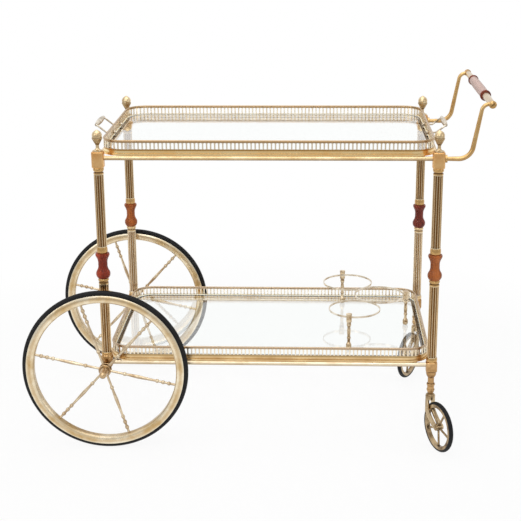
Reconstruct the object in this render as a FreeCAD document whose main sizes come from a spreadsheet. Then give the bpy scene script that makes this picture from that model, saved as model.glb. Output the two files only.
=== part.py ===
# Bar cart: two glass trays with pierced galleries on four fluted brass legs, two large spoked
# wheels on one axle at the left end, two swivel casters and a push handle at the right end.
# Millimetres. +Z is up, +X points to the push handle, -Y is the front, the floor is Z = 0.
import FreeCAD, Part
import math
import os
import re
import Sketcher
from FreeCAD import Placement, Rotation, Vector

SIZES = {
    # clearances (fixed fits, running fits, running faces, loose seats) and how far a cutter runs past
    "fit_gap": 0.1,
    "run_gap": 0.06,
    "side_gap": 0.3,
    "seat_gap": 0.3,
    "cut_overrun": 1,
    # legs and rails
    "leg_spacing_x": 650,
    "leg_spacing_y": 384,
    "top_rail_z": 591,
    "rail_above_axle": 5.3,
    "rail_diameter": 8.4,
    "rail_socket_depth": 5,
    "tie_rod_diameter": 6,
    "tie_rod_in_finial": 4,
    "tie_rod_in_foot": 11,
    # square blocks
    "block_size": 23.5,
    "low_block_size": 22.5,
    "block_corner_radius": 6,
    "block_chamfer": 1.2,
    "top_block_above_rail": 13,
    "top_block_below_rail": 18,
    "low_block_above_rail": 7,
    "low_block_below_rail": 13,
    # acorn finials
    "finial_height": 42,
    "finial_width": 19.8,
    "finial_base_diameter": 19.4,
    "finial_base_height": 2.2,
    "finial_neck_diameter": 6.6,
    "finial_neck_start": 7.5,
    "finial_neck_end": 12.5,
    "finial_cup_height": 25.6,
    "finial_cup_rim": 1.4,
    "finial_nut_diameter": 18,
    "finial_flare_hollow": 1.4,
    "finial_cup_bulge": 0.2,
    "finial_dome_bulge": 3.2,
    "finial_tip_diameter": 6,
    "finial_tip_height": 1.5,
    # fluted columns
    "column_diameter": 19,
    "flute_count": 12,
    "flute_radius": 2.1,
    "flute_depth": 1.6,
    "flute_end_land": 1.5,
    "collar_bulge": 0.9,
    "upper_collar_height": 13,
    "upper_collar_diameter": 19.6,
    "left_collar_height": 4.3,
    "left_collar_diameter": 20.4,
    "right_collar_height": 9,
    "right_collar_diameter": 20.4,
    "upper_cushion_height": 7,
    "lower_cushion_height": 5,
    "cushion_diameter": 19.4,
    "neck_groove_diameter": 16.4,
    "neck_groove_height": 3,
    "neck_ring_diameter": 19.8,
    "neck_ring_height": 2.5,
    # turned wood spools
    "spool_z": 375.2,
    "spool_height": 52,
    "spool_foot_diameter": 17.6,
    "spool_belly_diameter": 28,
    "spool_belly_z": 9.5,
    "spool_belly_bulge": 1.4,
    "spool_shoulder_diameter": 23.4,
    "spool_shoulder_z": 17,
    "spool_shoulder_bulge": 0.7,
    "spool_waist_diameter": 18.4,
    "spool_waist_z": 29.5,
    "spool_waist_hollow": 1.0,
    "spool_neck_diameter": 25.2,
    "spool_neck_z": 45,
    "spool_neck_hollow": 1.3,
    "spool_ring_diameter": 26.4,
    "spool_ring_height": 5.5,
    "spool_ring_bulge": 0.7,
    # left feet
    "foot_diameter": 23,
    "foot_above_rail": 17.8,
    "foot_below_axle": 8.5,
    "foot_neck_start": 12.6,
    "foot_neck_diameter": 18.6,
    "foot_bun_start": 15,
    "foot_bun_bulge": 2.6,
    "foot_top_diameter": 20,
    # turned necks of the right feet, from the block down
    "neck_drawn_length": 46,
    "neck_cup_diameter": 20,
    "neck_cup_height": 13,
    "neck_cup_bulge": 1.6,
    "neck_shaft_diameter": 12.6,
    "neck_shaft_height": 12.5,
    "neck_top_ring_diameter": 15.6,
    "neck_top_ring_height": 4,
    "neck_barrel_diameter": 14,
    "neck_barrel_height": 7.5,
    "neck_low_ring_diameter": 15,
    "neck_low_ring_height": 3.5,
    "neck_lip_diameter": 14,
    "neck_lip_height": 2.5,
    "neck_tip_diameter": 10.4,
    "neck_tip_taper": 1.5,
    "neck_ring_bulge": 0.6,
    # trays
    "tray_inset_x": 5,
    "tray_inset_y": 2,
    "tray_corner_radius": 42,
    "band_height": 8.9,
    "band_wall": 2.2,
    "lip_width": 2.6,
    "lip_height": 3.6,
    "ledge_rise": 4,
    "ledge_width": 9,
    "ledge_thickness": 2,
    "glass_thickness": 5,
    "glass_gap": 0.9,
    "gallery_height": 20.9,
    "gallery_thickness": 1.6,
    "gallery_bead_diameter": 3.8,
    "slot_pitch": 7.7,
    "slot_width": 5,
    "slot_foot": 3,
    "slot_height": 12.7,
    # loop handles of the top tray
    "tray_root_height": 16.4,
    "tray_stub_length": 13,
    "tray_grip_reach": 32,
    "tray_grip_rise": 14.6,
    "tray_grip_spacing": 82,
    "tray_arm_diameter": 3.6,
    "tray_collar_diameter": 9,
    "tray_collar_height": 2,
    "tray_nut_diameter": 6.2,
    "tray_nut_height": 6,
    "tray_nut_side": 3,
    "tray_grip_end_diameter": 6.6,
    "tray_grip_diameter": 11.2,
    # bottle holder
    "ring_x": 229,
    "ring_y": 0,
    "ring_back_angle": 52.1,
    "ring_front_angle": 58.7,
    "ring_inner_diameter": 102.4,
    "ring_wall": 1.8,
    "ring_strip_height": 3.5,
    "ring_height": 64,
    "post_height": 74.4,
    "post_head_diameter": 11,
    "post_head_height": 17.4,
    "post_rim_diameter": 11.8,
    "post_rim_height": 2.6,
    "post_bead_diameter": 6.4,
    "post_bead_height": 10.4,
    "post_bead_bulge": 1.3,
    "post_shaft_top_diameter": 5.6,
    "post_shaft_foot_diameter": 5.6,
    "post_shaft_bulge": 0.9,
    "post_neck_diameter": 5.8,
    "post_neck_start": 14.2,
    "post_low_bead_diameter": 6,
    "post_low_bead_start": 20.5,
    "post_low_bead_height": 5,
    "post_low_bead_bulge": 1,
    "post_base_diameter": 9.2,
    "post_base_height": 11,
    "post_base_bulge": 1.2,
    "post_right_angle": 0,
    "post_back_angle": 100,
    "post_front_angle": 103,
    # push handle
    "handle_reach": 95.45,
    "handle_rise": 104.2,
    "handle_lean_angle": 79.5,
    "handle_low_bend": 27,
    "handle_top_bend": 14,
    "handle_end_run": 5,
    "handle_root_diameter": 8,
    "handle_bend_diameter": 9.2,
    "handle_top_diameter": 7.6,
    "handle_collar_diameter": 15,
    "handle_collar_height": 4,
    "handle_tenon_diameter": 7,
    "handle_tenon_depth": 8,
    "handle_boss_diameter": 13,
    "handle_boss_length": 11,
    "bar_diameter": 8,
    "grip_length": 197,
    "grip_end_diameter": 17.8,
    "grip_middle_diameter": 19.2,
    "grip_ring_diameter": 21.6,
    "grip_ring_width": 6.5,
    "grip_ring_bulge": 0.9,
    "ferrule_wide_diameter": 14.6,
    "ferrule_narrow_diameter": 11.6,
    "ferrule_rim_width": 4,
    "screw_diameter": 4,
    "screw_in_bar": 12,
    "screw_head_diameter": 14.6,
    "screw_head_height": 4.8,
    "screw_slot_width": 2,
    "screw_slot_depth": 1.9,
    "screw_slot_angle": 40,
    # axle and large wheels
    "axle_diameter": 8,
    "wheel_radius": 166.5,
    "wheel_offset": 30,
    "tyre_depth": 8.4,
    "tyre_width": 12,
    "tyre_shoulder": 2,
    "rim_depth": 15.6,
    "rim_width": 15,
    "rim_chamfer": 2,
    "rim_face_bulge": 1.8,
    "rim_groove_width": 9,
    "rim_groove_depth": 4,
    "hub_diameter": 19,
    "hub_flange_diameter": 25,
    "hub_flange_inner": 4,
    "hub_flange_outer": 7.5,
    "hub_flange_bulge": 0.7,
    "hub_nose": 8,
    "hub_sleeve_diameter": 15,
    "spoke_count": 6,
    "spoke_start_angle": 47.5,
    "spoke_tip_diameter": 4.4,
    "spoke_in_hub": 3.5,
    "spoke_in_rim": 6,
    "spoke_thin_diameter": 4.8,
    "spoke_vase_diameter": 7.2,
    "spoke_bead_diameter": 8,
    "spoke_bead_width": 6,
    "spoke_bead_bulge": 1.1,
    "spoke_drawn_radius": 166.5,
    "spoke_inner_bead": 40,
    "spoke_vase_middle": 66,
    "spoke_vase_end": 98,
    "spoke_first_bead": 106,
    "spoke_second_bead": 118,
    "spoke_third_bead": 130,
    "nut_length": 27.8,
    "nut_flange_diameter": 19.4,
    "nut_flange_height": 3.5,
    "nut_waist_diameter": 18.2,
    "nut_knob_diameter": 14,
    "nut_knob_height": 18.5,
    "nut_dome_height": 21,
    "nut_thread_depth": 18,
    # casters
    "caster_radius": 51,
    "caster_trail": 35,
    "caster_front_turn": 64,
    "caster_back_turn": 120,
    "caster_tyre_depth": 5,
    "caster_tyre_width": 9,
    "caster_tyre_shoulder": 1.5,
    "caster_rim_depth": 6.5,
    "caster_rim_width": 8,
    "caster_groove_width": 5,
    "caster_groove_depth": 2.5,
    "caster_hub_diameter": 14,
    "caster_hub_width": 10,
    "caster_spoke_count": 5,
    "caster_spoke_diameter": 4.4,
    "caster_spoke_start": 13,
    "caster_pin_diameter": 5,
    "caster_pin_head_diameter": 9,
    "caster_pin_head_height": 2.2,
    "caster_stem_diameter": 7,
    "caster_stem_length": 28,
    "crown_diameter": 18.6,
    "crown_top_diameter": 10,
    "crown_height": 12.8,
    "crown_rim_height": 4,
    "crown_bulge": 2.2,
    "prong_thickness": 2.6,
    "prong_width": 11,
    "crown_above_tyre": 9.3,
    "prong_knee_rise": 21,
    "prong_crotch_rise": 30,
    "prong_slope": 34.5,
    "prong_eye_diameter": 13,
    "prong_curve": 3,
}

doc = FreeCAD.newDocument("bar_cart")
sheet = doc.addObject("Spreadsheet::Sheet", "sizes")
for row, (size_name, size_value) in enumerate(SIZES.items(), start=1):
    sheet.set(f"A{row}", size_name)
    sheet.set(f"B{row}", str(size_value))
    sheet.setAlias(f"B{row}", size_name)
doc.recompute()

nodes = {}
x_way = Vector(1, 0, 0)
y_way = Vector(0, 1, 0)
z_way = Vector(0, 0, 1)
z_to_x = Rotation(y_way, 90)
z_to_front = Rotation(x_way, 90)

# places that several pieces share, as formulas of the sheet's names
centre_x = "((wheel_radius - handle_reach - grip_ring_diameter / 2) / 2)"
left_x = f"({centre_x} - leg_spacing_x / 2)"
right_x = f"({centre_x} + leg_spacing_x / 2)"
front_y = "(-leg_spacing_y / 2)"
block_half = "(block_size / 2)"
low_block_half = "(low_block_size / 2)"
rail_socket = "(rail_diameter / 2 + fit_gap)"
rod_bore = "(tie_rod_diameter / 2 + fit_gap)"
top_block_bottom = "(top_rail_z - top_block_below_rail)"
top_block_top = "(top_rail_z + top_block_above_rail)"
spool_top = "(spool_z + spool_height / 2)"
spool_bottom = "(spool_z - spool_height / 2)"
shelf_rail_z = "(wheel_radius + rail_above_axle)"
left_foot_top = f"({shelf_rail_z} + foot_above_rail)"
right_foot_top = f"({shelf_rail_z} + low_block_above_rail)"
left_foot_bottom = "(wheel_radius - foot_below_axle)"
tray_half_x = "(leg_spacing_x / 2 - tray_inset_x)"
tray_half_y = "(leg_spacing_y / 2 - tray_inset_y)"
tray_seat = "(rail_diameter / 2 + seat_gap)"
shelf_glass_top = f"({shelf_rail_z} + {tray_seat} + ledge_rise + ledge_thickness + glass_thickness)"
wheel_y = "(-leg_spacing_y / 2 - wheel_offset)"
crown_top = "(2 * caster_radius + crown_above_tyre)"
neck_length = f"({shelf_rail_z} - low_block_below_rail - side_gap - {crown_top})"
neck_stretch = f"({neck_length} / neck_drawn_length)"
stem_length = f"(caster_stem_length * {neck_stretch})"
prong_inner = "(caster_hub_width / 2 + side_gap)"


def formula(text):
    # the sheet's names become references to the sheet
    def reference(word):
        return "sizes." + word.group() if word.group() in SIZES else word.group()
    return re.sub(r"[A-Za-z_]\w*", reference, str(text))


def number(text):
    return float(sheet.evalExpression(formula(text)))


def bind(thing, **values):
    for prop, text in values.items():
        thing.setExpression(prop.replace("__", "."), formula(text))


def place(thing, x="0", y="0", z="0", turn=Rotation(), axis=None, angle=None):
    # turn is a fixed rotation; axis and angle give one that follows the sheet
    if axis:
        thing.Placement = Placement(Vector(), Rotation(axis, number(angle)))
        bind(thing, Placement__Rotation__Angle=angle)
    else:
        thing.Placement = Placement(Vector(), turn)
    bind(thing, Placement__Base__x=x, Placement__Base__y=y, Placement__Base__z=z)
    return thing


def keep(thing, name):
    thing.Label = name
    nodes[name] = thing
    return thing


def new_body(name):
    return doc.addObject("PartDesign::Body", name)


def origin_part(body, role):
    return next(part for part in body.Origin.OriginFeatures if part.Role == role)


def new_sketch(body, role, height="0", shift_x="0"):
    sketch = body.newObject("Sketcher::SketchObject", "Outline")
    sketch.AttachmentSupport = [(origin_part(body, role), "")]
    sketch.MapMode = "FlatFace"
    bind(sketch, AttachmentOffset__Base__x=shift_x, AttachmentOffset__Base__z=height)
    return sketch


def fix(sketch, kind, where, text):
    index = sketch.addConstraint(Sketcher.Constraint(kind, *where, number(text)))
    sketch.setExpression(f"Constraints[{index}]", formula(text))


def outline(sketch, points):
    # closed outline, anticlockwise; a third value bulges the edge after its point outwards
    spots = [Vector(number(point[0]), number(point[1]), 0) for point in points]
    tails = []
    for index, point in enumerate(points):
        following = (index + 1) % len(points)
        start = spots[index]
        end = spots[following]
        bulge = number(point[2]) if len(point) > 2 else 0
        middle = (start + end) / 2
        if bulge:
            middle += (end - start).cross(z_way).normalize() * bulge
        if bulge == 0:
            sketch.addGeometry(Part.LineSegment(start, end))
        elif bulge > 0:
            sketch.addGeometry(Part.Arc(start, middle, end))
        else:
            sketch.addGeometry(Part.Arc(end, middle, start))
        tails.append((2, 1) if bulge < 0 else (1, 2))
        if bulge:
            rise = f"abs({point[2]})"
            run_x = f"({points[following][0]} - ({point[0]}))"
            run_y = f"({points[following][1]} - ({point[1]}))"
            radius = f"(({run_x})^2 + ({run_y})^2) / 8 / {rise} + {rise} / 2"
            fix(sketch, "Radius", [index], radius)
    for index, point in enumerate(points):
        following = (index + 1) % len(points)
        joint = [index, tails[index][1], following, tails[following][0]]
        sketch.addConstraint(Sketcher.Constraint("Coincident", *joint))
        fix(sketch, "DistanceX", [-1, 1, index, tails[index][0]], point[0])
        fix(sketch, "DistanceY", [-1, 1, index, tails[index][0]], point[1])


def cap_bulge(width, height):
    # bulge of a ball cap that closes on the axis, for its radius and its height
    ball = f"((({width})^2 + ({height})^2) / 2 / ({height}))"
    return f"({ball} - sqrt({ball}^2 - (({width})^2 + ({height})^2) / 4))"


def rounded_rectangle(sketch, half_x, half_y, radius):
    bulge = f"({radius}) * (1 - sqrt(0.5))"
    outline(sketch, [
        (f"{half_x} - ({radius})", f"-{half_y}", bulge),
        (half_x, f"-{half_y} + ({radius})"),
        (half_x, f"{half_y} - ({radius})", bulge),
        (f"{half_x} - ({radius})", half_y),
        (f"-{half_x} + ({radius})", half_y, bulge),
        (f"-{half_x}", f"{half_y} - ({radius})"),
        (f"-{half_x}", f"-{half_y} + ({radius})", bulge),
        (f"-{half_x} + ({radius})", f"-{half_y}"),
    ])


def revolve(body, role, axis, points):
    sketch = new_sketch(body, role)
    outline(sketch, points)
    turned_part = body.newObject("PartDesign::Revolution", "Turned")
    turned_part.Profile = sketch
    turned_part.ReferenceAxis = (sketch, [axis])
    turned_part.Angle = 360
    return turned_part


def turned(name, points):
    # turned about Z; the points are (radius, height)
    body = new_body(name)
    revolve(body, "XZ_Plane", "V_Axis", points)
    return body


def wheel_turned(name, points):
    # turned about Y; the points are (radius, place along the axle)
    body = new_body(name)
    revolve(body, "XY_Plane", "V_Axis", points)
    return body


def pad(body, sketch, length):
    block = body.newObject("PartDesign::Pad", "Block")
    block.Profile = sketch
    bind(block, Length=length)
    return block


def pocket(body, sketch, depth):
    cut = body.newObject("PartDesign::Pocket", "Recess")
    cut.Profile = sketch
    bind(cut, Length=depth)
    return cut


def bore(body, radius, length, x="0", y="0", z="0", turn=Rotation()):
    hole = body.newObject("PartDesign::SubtractiveCylinder", "Bore")
    bind(hole, Radius=radius, Height=length)
    return place(hole, x, y, z, turn)


def around(body, feature, axis, count):
    ring = body.newObject("PartDesign::PolarPattern", "Around")
    ring.Originals = [feature]
    ring.Axis = (origin_part(body, axis), [""])
    ring.Angle = 360
    bind(ring, Occurrences=count)
    body.Tip = ring
    return ring


def mirror(source, name, way, x="0"):
    copy = doc.addObject("Part::Mirroring", name)
    copy.Source = source
    copy.Normal = way
    bind(copy, Base__x=x)
    return copy


def group(name, members):
    joined = doc.addObject("Part::Compound", name)
    joined.Links = members
    return keep(joined, name)


def front_and_back(piece, name):
    return group(name, [piece, mirror(piece, piece.Name + "_back", y_way)])


def rod(name, diameter, length, x="0", y="0", z="0", turn=Rotation(), axis=None, angle=None):
    piece = doc.addObject("Part::Cylinder", name)
    bind(piece, Radius=f"{diameter} / 2", Height=length)
    return place(piece, x, y, z, turn, axis, angle)


def fuse(name, members):
    joined = doc.addObject("Part::MultiFuse", name)
    joined.Shapes = members
    joined.Refine = True
    return joined


def finials():
    base = "finial_base_diameter / 2"
    neck = "finial_neck_diameter / 2"
    depth = "tie_rod_in_finial + fit_gap"
    nut_start = "finial_cup_height + finial_cup_rim"
    tip = cap_bulge("finial_tip_diameter / 2", "finial_tip_height")
    acorn = turned("finial", [
        (rod_bore, "0"),
        (base, "0"),
        (base, "finial_base_height", "-finial_flare_hollow"),
        (neck, "finial_neck_start"),
        (neck, "finial_neck_end", "finial_cup_bulge"),
        ("finial_width / 2", "finial_cup_height"),
        ("finial_width / 2", nut_start),
        ("finial_nut_diameter / 2", nut_start, "finial_dome_bulge"),
        ("finial_tip_diameter / 2", "finial_height - finial_tip_height", tip),
        ("0", "finial_height"),
        ("0", depth),
        (rod_bore, depth),
    ])
    place(acorn, left_x, front_y, top_block_top)
    right = mirror(acorn, "finial_right", x_way, centre_x)
    front = [acorn, right]
    back = [mirror(piece, piece.Name + "_back", y_way) for piece in front]
    group("finials", front + back)


def square_block(name, half, bottom, height):
    body = new_body(name)
    sketch = new_sketch(body, "XY_Plane", bottom)
    rounded_rectangle(sketch, half, half, "block_corner_radius")
    block = pad(body, sketch, height)
    doc.recompute()
    ends = [f"Face{index}" for index, face in enumerate(block.Shape.Faces, start=1)
            if abs(face.normalAt(0, 0).z) > 0.9]
    edge = body.newObject("PartDesign::Chamfer", "Edge")
    edge.Base = (block, ends)
    bind(edge, Size="block_chamfer")
    return body


def rail_sockets(body, half, side):
    # blind holes for the long rail, which runs to the given side, and for the short rail behind
    reach = "rail_socket_depth + cut_overrun"
    start = f"{half} - rail_socket_depth"
    if side > 0:
        bore(body, rail_socket, reach, x=start, turn=z_to_x)
    else:
        bore(body, rail_socket, reach, x=f"-{half} - cut_overrun", turn=z_to_x)
    bore(body, rail_socket, reach, y=f"{half} + cut_overrun", turn=z_to_front)


def top_blocks():
    height = "top_block_above_rail + top_block_below_rail"
    for name, side, x in (("left_top_blocks", 1, left_x), ("right_top_blocks", -1, right_x)):
        body = square_block(name + "_front", block_half, "-top_block_below_rail", height)
        bore(body, rod_bore, height, z="-top_block_below_rail")
        rail_sockets(body, block_half, side)
        if side < 0:
            depth = "handle_tenon_depth + fit_gap"
            bore(body, "handle_tenon_diameter / 2 + fit_gap", depth, x=f"{block_half} - ({depth})",
                 turn=z_to_x)
        place(body, x, front_y, "top_rail_z")
        front_and_back(body, name)


def fluted_column(name, bottom, top, collar_diameter, collar_height, cushion_height):
    height = f"({top} - {bottom})"
    ring_top = f"{height} - {cushion_height} - neck_groove_height"
    ring_bottom = f"{ring_top} - neck_ring_height"
    body = turned(name, [
        (rod_bore, "0"),
        (f"{collar_diameter} / 2", "0", "collar_bulge"),
        (f"{collar_diameter} / 2", collar_height),
        ("column_diameter / 2", collar_height),
        ("column_diameter / 2", ring_bottom),
        ("neck_ring_diameter / 2", ring_bottom),
        ("neck_ring_diameter / 2", ring_top),
        ("neck_groove_diameter / 2", ring_top),
        ("neck_groove_diameter / 2", f"{height} - {cushion_height}"),
        ("cushion_diameter / 2", f"{height} - {cushion_height}", "collar_bulge"),
        ("cushion_diameter / 2", height),
        (rod_bore, height),
    ])
    flute_start = f"{collar_height} + flute_end_land"
    flute_length = f"{ring_bottom} - flute_end_land - ({flute_start})"
    centre = "column_diameter / 2 + flute_radius - flute_depth"
    flute = bore(body, "flute_radius", flute_length, x=centre, z=flute_start)
    around(body, flute, "Z_Axis", "flute_count")
    return body


def wood_spool():
    return turned("front_left_wood_spool", [
        (rod_bore, "0"),
        ("spool_foot_diameter / 2", "0", "spool_belly_bulge"),
        ("spool_belly_diameter / 2", "spool_belly_z", "spool_shoulder_bulge"),
        ("spool_shoulder_diameter / 2", "spool_shoulder_z", "-spool_waist_hollow"),
        ("spool_waist_diameter / 2", "spool_waist_z", "-spool_neck_hollow"),
        ("spool_neck_diameter / 2", "spool_neck_z"),
        ("spool_ring_diameter / 2", "spool_height - spool_ring_height", "spool_ring_bulge"),
        ("spool_ring_diameter / 2", "spool_height"),
        (rod_bore, "spool_height"),
    ])


def left_foot():
    height = f"({left_foot_top} - {left_foot_bottom})"
    radius = "foot_diameter / 2"
    socket_end = f"{height} - tie_rod_in_foot - fit_gap"
    body = turned("front_left_foot", [
        ("0", "0", f"{radius} * (1 - sqrt(0.5))"),
        (radius, radius),
        (radius, "foot_neck_start"),
        ("foot_neck_diameter / 2", "foot_bun_start", "foot_bun_bulge"),
        ("foot_top_diameter / 2", height),
        (rod_bore, height),
        (rod_bore, socket_end),
        ("0", socket_end),
    ])
    bore(body, "axle_diameter / 2 + fit_gap", "foot_diameter + 2 * cut_overrun",
         y=f"{radius} + cut_overrun", z="foot_below_axle", turn=z_to_front)
    bore(body, rail_socket, "rail_socket_depth + cut_overrun", x=f"{radius} - rail_socket_depth",
         z=f"{shelf_rail_z} - {left_foot_bottom}", turn=z_to_x)
    return place(body, left_x, front_y, left_foot_bottom)


def right_foot():
    body = square_block("front_right_foot", low_block_half, "-low_block_below_rail",
                        "low_block_above_rail + low_block_below_rail")
    rail_sockets(body, low_block_half, -1)
    bore(body, rod_bore, "tie_rod_in_foot + fit_gap",
         z="low_block_above_rail - tie_rod_in_foot - fit_gap")
    cup_end = f"(-low_block_below_rail - neck_cup_height * {neck_stretch})"
    shaft_end = f"({cup_end} - neck_shaft_height * {neck_stretch})"
    top_ring_end = f"({shaft_end} - neck_top_ring_height * {neck_stretch})"
    barrel_end = f"({top_ring_end} - neck_barrel_height * {neck_stretch})"
    low_ring_end = f"({barrel_end} - neck_low_ring_height * {neck_stretch})"
    lip_end = f"({low_ring_end} - neck_lip_height * {neck_stretch})"
    tip_end = f"(-low_block_below_rail - {neck_length})"
    socket = "caster_stem_diameter / 2 + run_gap"
    socket_end = f"{tip_end} + {stem_length}"
    revolve(body, "XZ_Plane", "V_Axis", [
        (socket, tip_end),
        ("neck_tip_diameter / 2", tip_end),
        ("neck_tip_diameter / 2", f"{lip_end} - neck_tip_taper * {neck_stretch}"),
        ("neck_lip_diameter / 2", lip_end),
        ("neck_lip_diameter / 2", low_ring_end),
        ("neck_low_ring_diameter / 2", low_ring_end, "neck_ring_bulge"),
        ("neck_low_ring_diameter / 2", barrel_end),
        ("neck_barrel_diameter / 2", barrel_end),
        ("neck_barrel_diameter / 2", top_ring_end),
        ("neck_top_ring_diameter / 2", top_ring_end, "neck_ring_bulge"),
        ("neck_top_ring_diameter / 2", shaft_end),
        ("neck_shaft_diameter / 2", shaft_end),
        ("neck_shaft_diameter / 2", cup_end, "neck_cup_bulge"),
        ("neck_cup_diameter / 2", "-low_block_below_rail"),
        ("0", "-low_block_below_rail"),
        ("0", socket_end),
        (socket, socket_end),
    ])
    return place(body, right_x, front_y, shelf_rail_z)


def on_all_legs(piece, part_name):
    # the piece stands on the front left leg; its copies take the other three
    keep(piece, "front_left_" + part_name)
    front_right = keep(mirror(piece, "front_right_" + part_name, x_way, centre_x),
                       "front_right_" + part_name)
    keep(mirror(piece, "back_left_" + part_name, y_way), "back_left_" + part_name)
    keep(mirror(front_right, "back_right_" + part_name, y_way), "back_right_" + part_name)


def on_one_end(piece, end, part_name):
    keep(piece, f"front_{end}_{part_name}")
    keep(mirror(piece, f"back_{end}_{part_name}", y_way), f"back_{end}_{part_name}")


def legs():
    finials()
    top_blocks()
    upper = fluted_column("front_left_upper_column", spool_top, top_block_bottom,
                          "upper_collar_diameter", "upper_collar_height", "upper_cushion_height")
    on_all_legs(place(upper, left_x, front_y, spool_top), "upper_column")
    on_all_legs(place(wood_spool(), left_x, front_y, spool_bottom), "wood_spool")
    for end, x, bottom in (("left", left_x, left_foot_top), ("right", right_x, right_foot_top)):
        lower = fluted_column(f"front_{end}_lower_column", bottom, spool_bottom,
                              f"{end}_collar_diameter", f"{end}_collar_height",
                              "lower_cushion_height")
        on_one_end(place(lower, x, front_y, bottom), end, "lower_column")
    on_one_end(left_foot(), "left", "foot")
    on_one_end(right_foot(), "right", "foot")
    rods = []
    for end, x, foot_top in (("left", left_x, left_foot_top), ("right", right_x, right_foot_top)):
        bottom = f"({foot_top} - tie_rod_in_foot)"
        tie = rod(f"tie_rod_{end}", "tie_rod_diameter",
                  f"{top_block_top} + tie_rod_in_finial - {bottom}", x, front_y, bottom)
        rods += [tie, mirror(tie, f"tie_rod_{end}_back", y_way)]
    group("tie_rods", rods)


def rails():
    block_end = f"({block_half} - rail_socket_depth + fit_gap)"
    foot_end = "(foot_diameter / 2 - rail_socket_depth + fit_gap)"
    long_top = rod("top_long_rail", "rail_diameter", f"leg_spacing_x - 2 * {block_end}",
                   f"{left_x} + {block_end}", front_y, "top_rail_z", z_to_x)
    front_and_back(long_top, "top_long_rails")
    short_top = rod("top_short_rail", "rail_diameter", f"leg_spacing_y - 2 * {block_end}",
                    left_x, f"-{front_y} - {block_end}", "top_rail_z", z_to_front)
    group("top_short_rails", [short_top, mirror(short_top, "top_short_rail_right", x_way, centre_x)])
    low_end = f"({low_block_half} - rail_socket_depth + fit_gap)"
    long_shelf = rod("shelf_long_rail", "rail_diameter", f"leg_spacing_x - {foot_end} - {low_end}",
                     f"{left_x} + {foot_end}", front_y, shelf_rail_z, z_to_x)
    front_and_back(long_shelf, "shelf_long_rails")
    keep(rod("shelf_short_rail", "rail_diameter", f"leg_spacing_y - 2 * {low_end}",
             right_x, f"-{front_y} - {low_end}", shelf_rail_z, z_to_front), "shelf_short_rail")


def tray_band(name, bottom):
    body = new_body(name)
    sketch = new_sketch(body, "XY_Plane")
    rounded_rectangle(sketch, tray_half_x, tray_half_y, "tray_corner_radius")
    pad(body, sketch, "band_height")
    sketch = new_sketch(body, "XY_Plane")
    rounded_rectangle(sketch, f"({tray_half_x} + lip_width)", f"({tray_half_y} + lip_width)",
                      "tray_corner_radius + lip_width")
    pad(body, sketch, "lip_height")
    for inset, top, depth in (("band_wall", "band_height", "band_height - ledge_rise - ledge_thickness"),
                              ("(band_wall + ledge_width)", "band_height", "band_height"),
                              ("band_wall", "ledge_rise", "ledge_rise")):
        sketch = new_sketch(body, "XY_Plane", top)
        rounded_rectangle(sketch, f"({tray_half_x} - {inset})", f"({tray_half_y} - {inset})",
                          f"tray_corner_radius - {inset}")
        pocket(body, sketch, depth)
    return keep(place(body, centre_x, z=bottom), name)


def tray_glass(name, bottom):
    body = new_body(name)
    inset = "(band_wall + glass_gap)"
    sketch = new_sketch(body, "XY_Plane")
    rounded_rectangle(sketch, f"({tray_half_x} - {inset})", f"({tray_half_y} - {inset})",
                      f"tray_corner_radius - {inset}")
    pad(body, sketch, "glass_thickness")
    return keep(place(body, centre_x, z=f"{bottom} + ledge_rise + ledge_thickness"), name)


def slot_face(middle, foot, width, height):
    # one arched slot as a flat face, upright in the XZ plane
    half = width / 2
    spring = foot + height - half
    corners = [Vector(middle - half, 0, spring), Vector(middle - half, 0, foot),
               Vector(middle + half, 0, foot), Vector(middle + half, 0, spring)]
    edges = [Part.makeLine(corners[index], corners[index + 1]) for index in range(3)]
    crown = Part.Arc(corners[3], Vector(middle, 0, spring + half), corners[0])
    return Part.Face(Part.Wire(edges + [crown.toShape()]))


def slot_middles(length):
    # places of the slots along a straight stretch, which are centred on 0
    count = int(length / number("slot_pitch"))
    return [((index + 0.5) / count - 0.5) * length for index in range(count)]


def pierced_strip(length):
    # straight stretch of gallery, centred on X = 0, standing on Z = 0, with its bead on top
    thickness = number("gallery_thickness")
    bead = number("gallery_bead_diameter / 2")
    top = number("gallery_height") - bead
    slots = [slot_face(middle, number("slot_foot"), number("slot_width"), number("slot_height"))
             for middle in slot_middles(length)]
    start = Vector(-length / 2, 0, 0)
    frame = Part.makePolygon([start, start + Vector(length, 0, 0), Vector(length / 2, 0, top),
                              Vector(-length / 2, 0, top), start])
    holes = [slot.OuterWire for slot in slots]
    pierced = Part.makeFace([frame] + holes, "Part::FaceMakerBullseye")
    strip = pierced.extrude(Vector(0, thickness, 0))
    strip.translate(Vector(0, -thickness / 2, 0))
    return strip.fuse(Part.makeCylinder(bead, length, Vector(-length / 2, 0, top), x_way))


def pierced_corner(radius):
    # quarter turn of gallery about the Z axis, from +X to +Y
    thickness = number("gallery_thickness")
    bead = number("gallery_bead_diameter / 2")
    top = number("gallery_height") - bead
    outer = Part.makeCylinder(radius + thickness / 2, top, Vector(), z_way, 90)
    wall = outer.cut(Part.makeCylinder(radius - thickness / 2, top, Vector(), z_way, 90))
    count = int(radius * math.pi / 2 / number("slot_pitch"))
    cutters = []
    for index in range(count):
        slot = slot_face(0, number("slot_foot"), number("slot_width"), number("slot_height"))
        cutter = slot.extrude(Vector(0, 2 * radius, 0))
        cutter.rotate(Vector(), z_way, (index + 0.5) * 90 / count - 90)
        cutters.append(cutter)
    wall = wall.cut(Part.makeCompound(cutters))
    bead_ring = Part.makeTorus(radius, bead, Vector(0, 0, top), z_way, -180, 180, 90)
    return wall.fuse(bead_ring)


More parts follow.
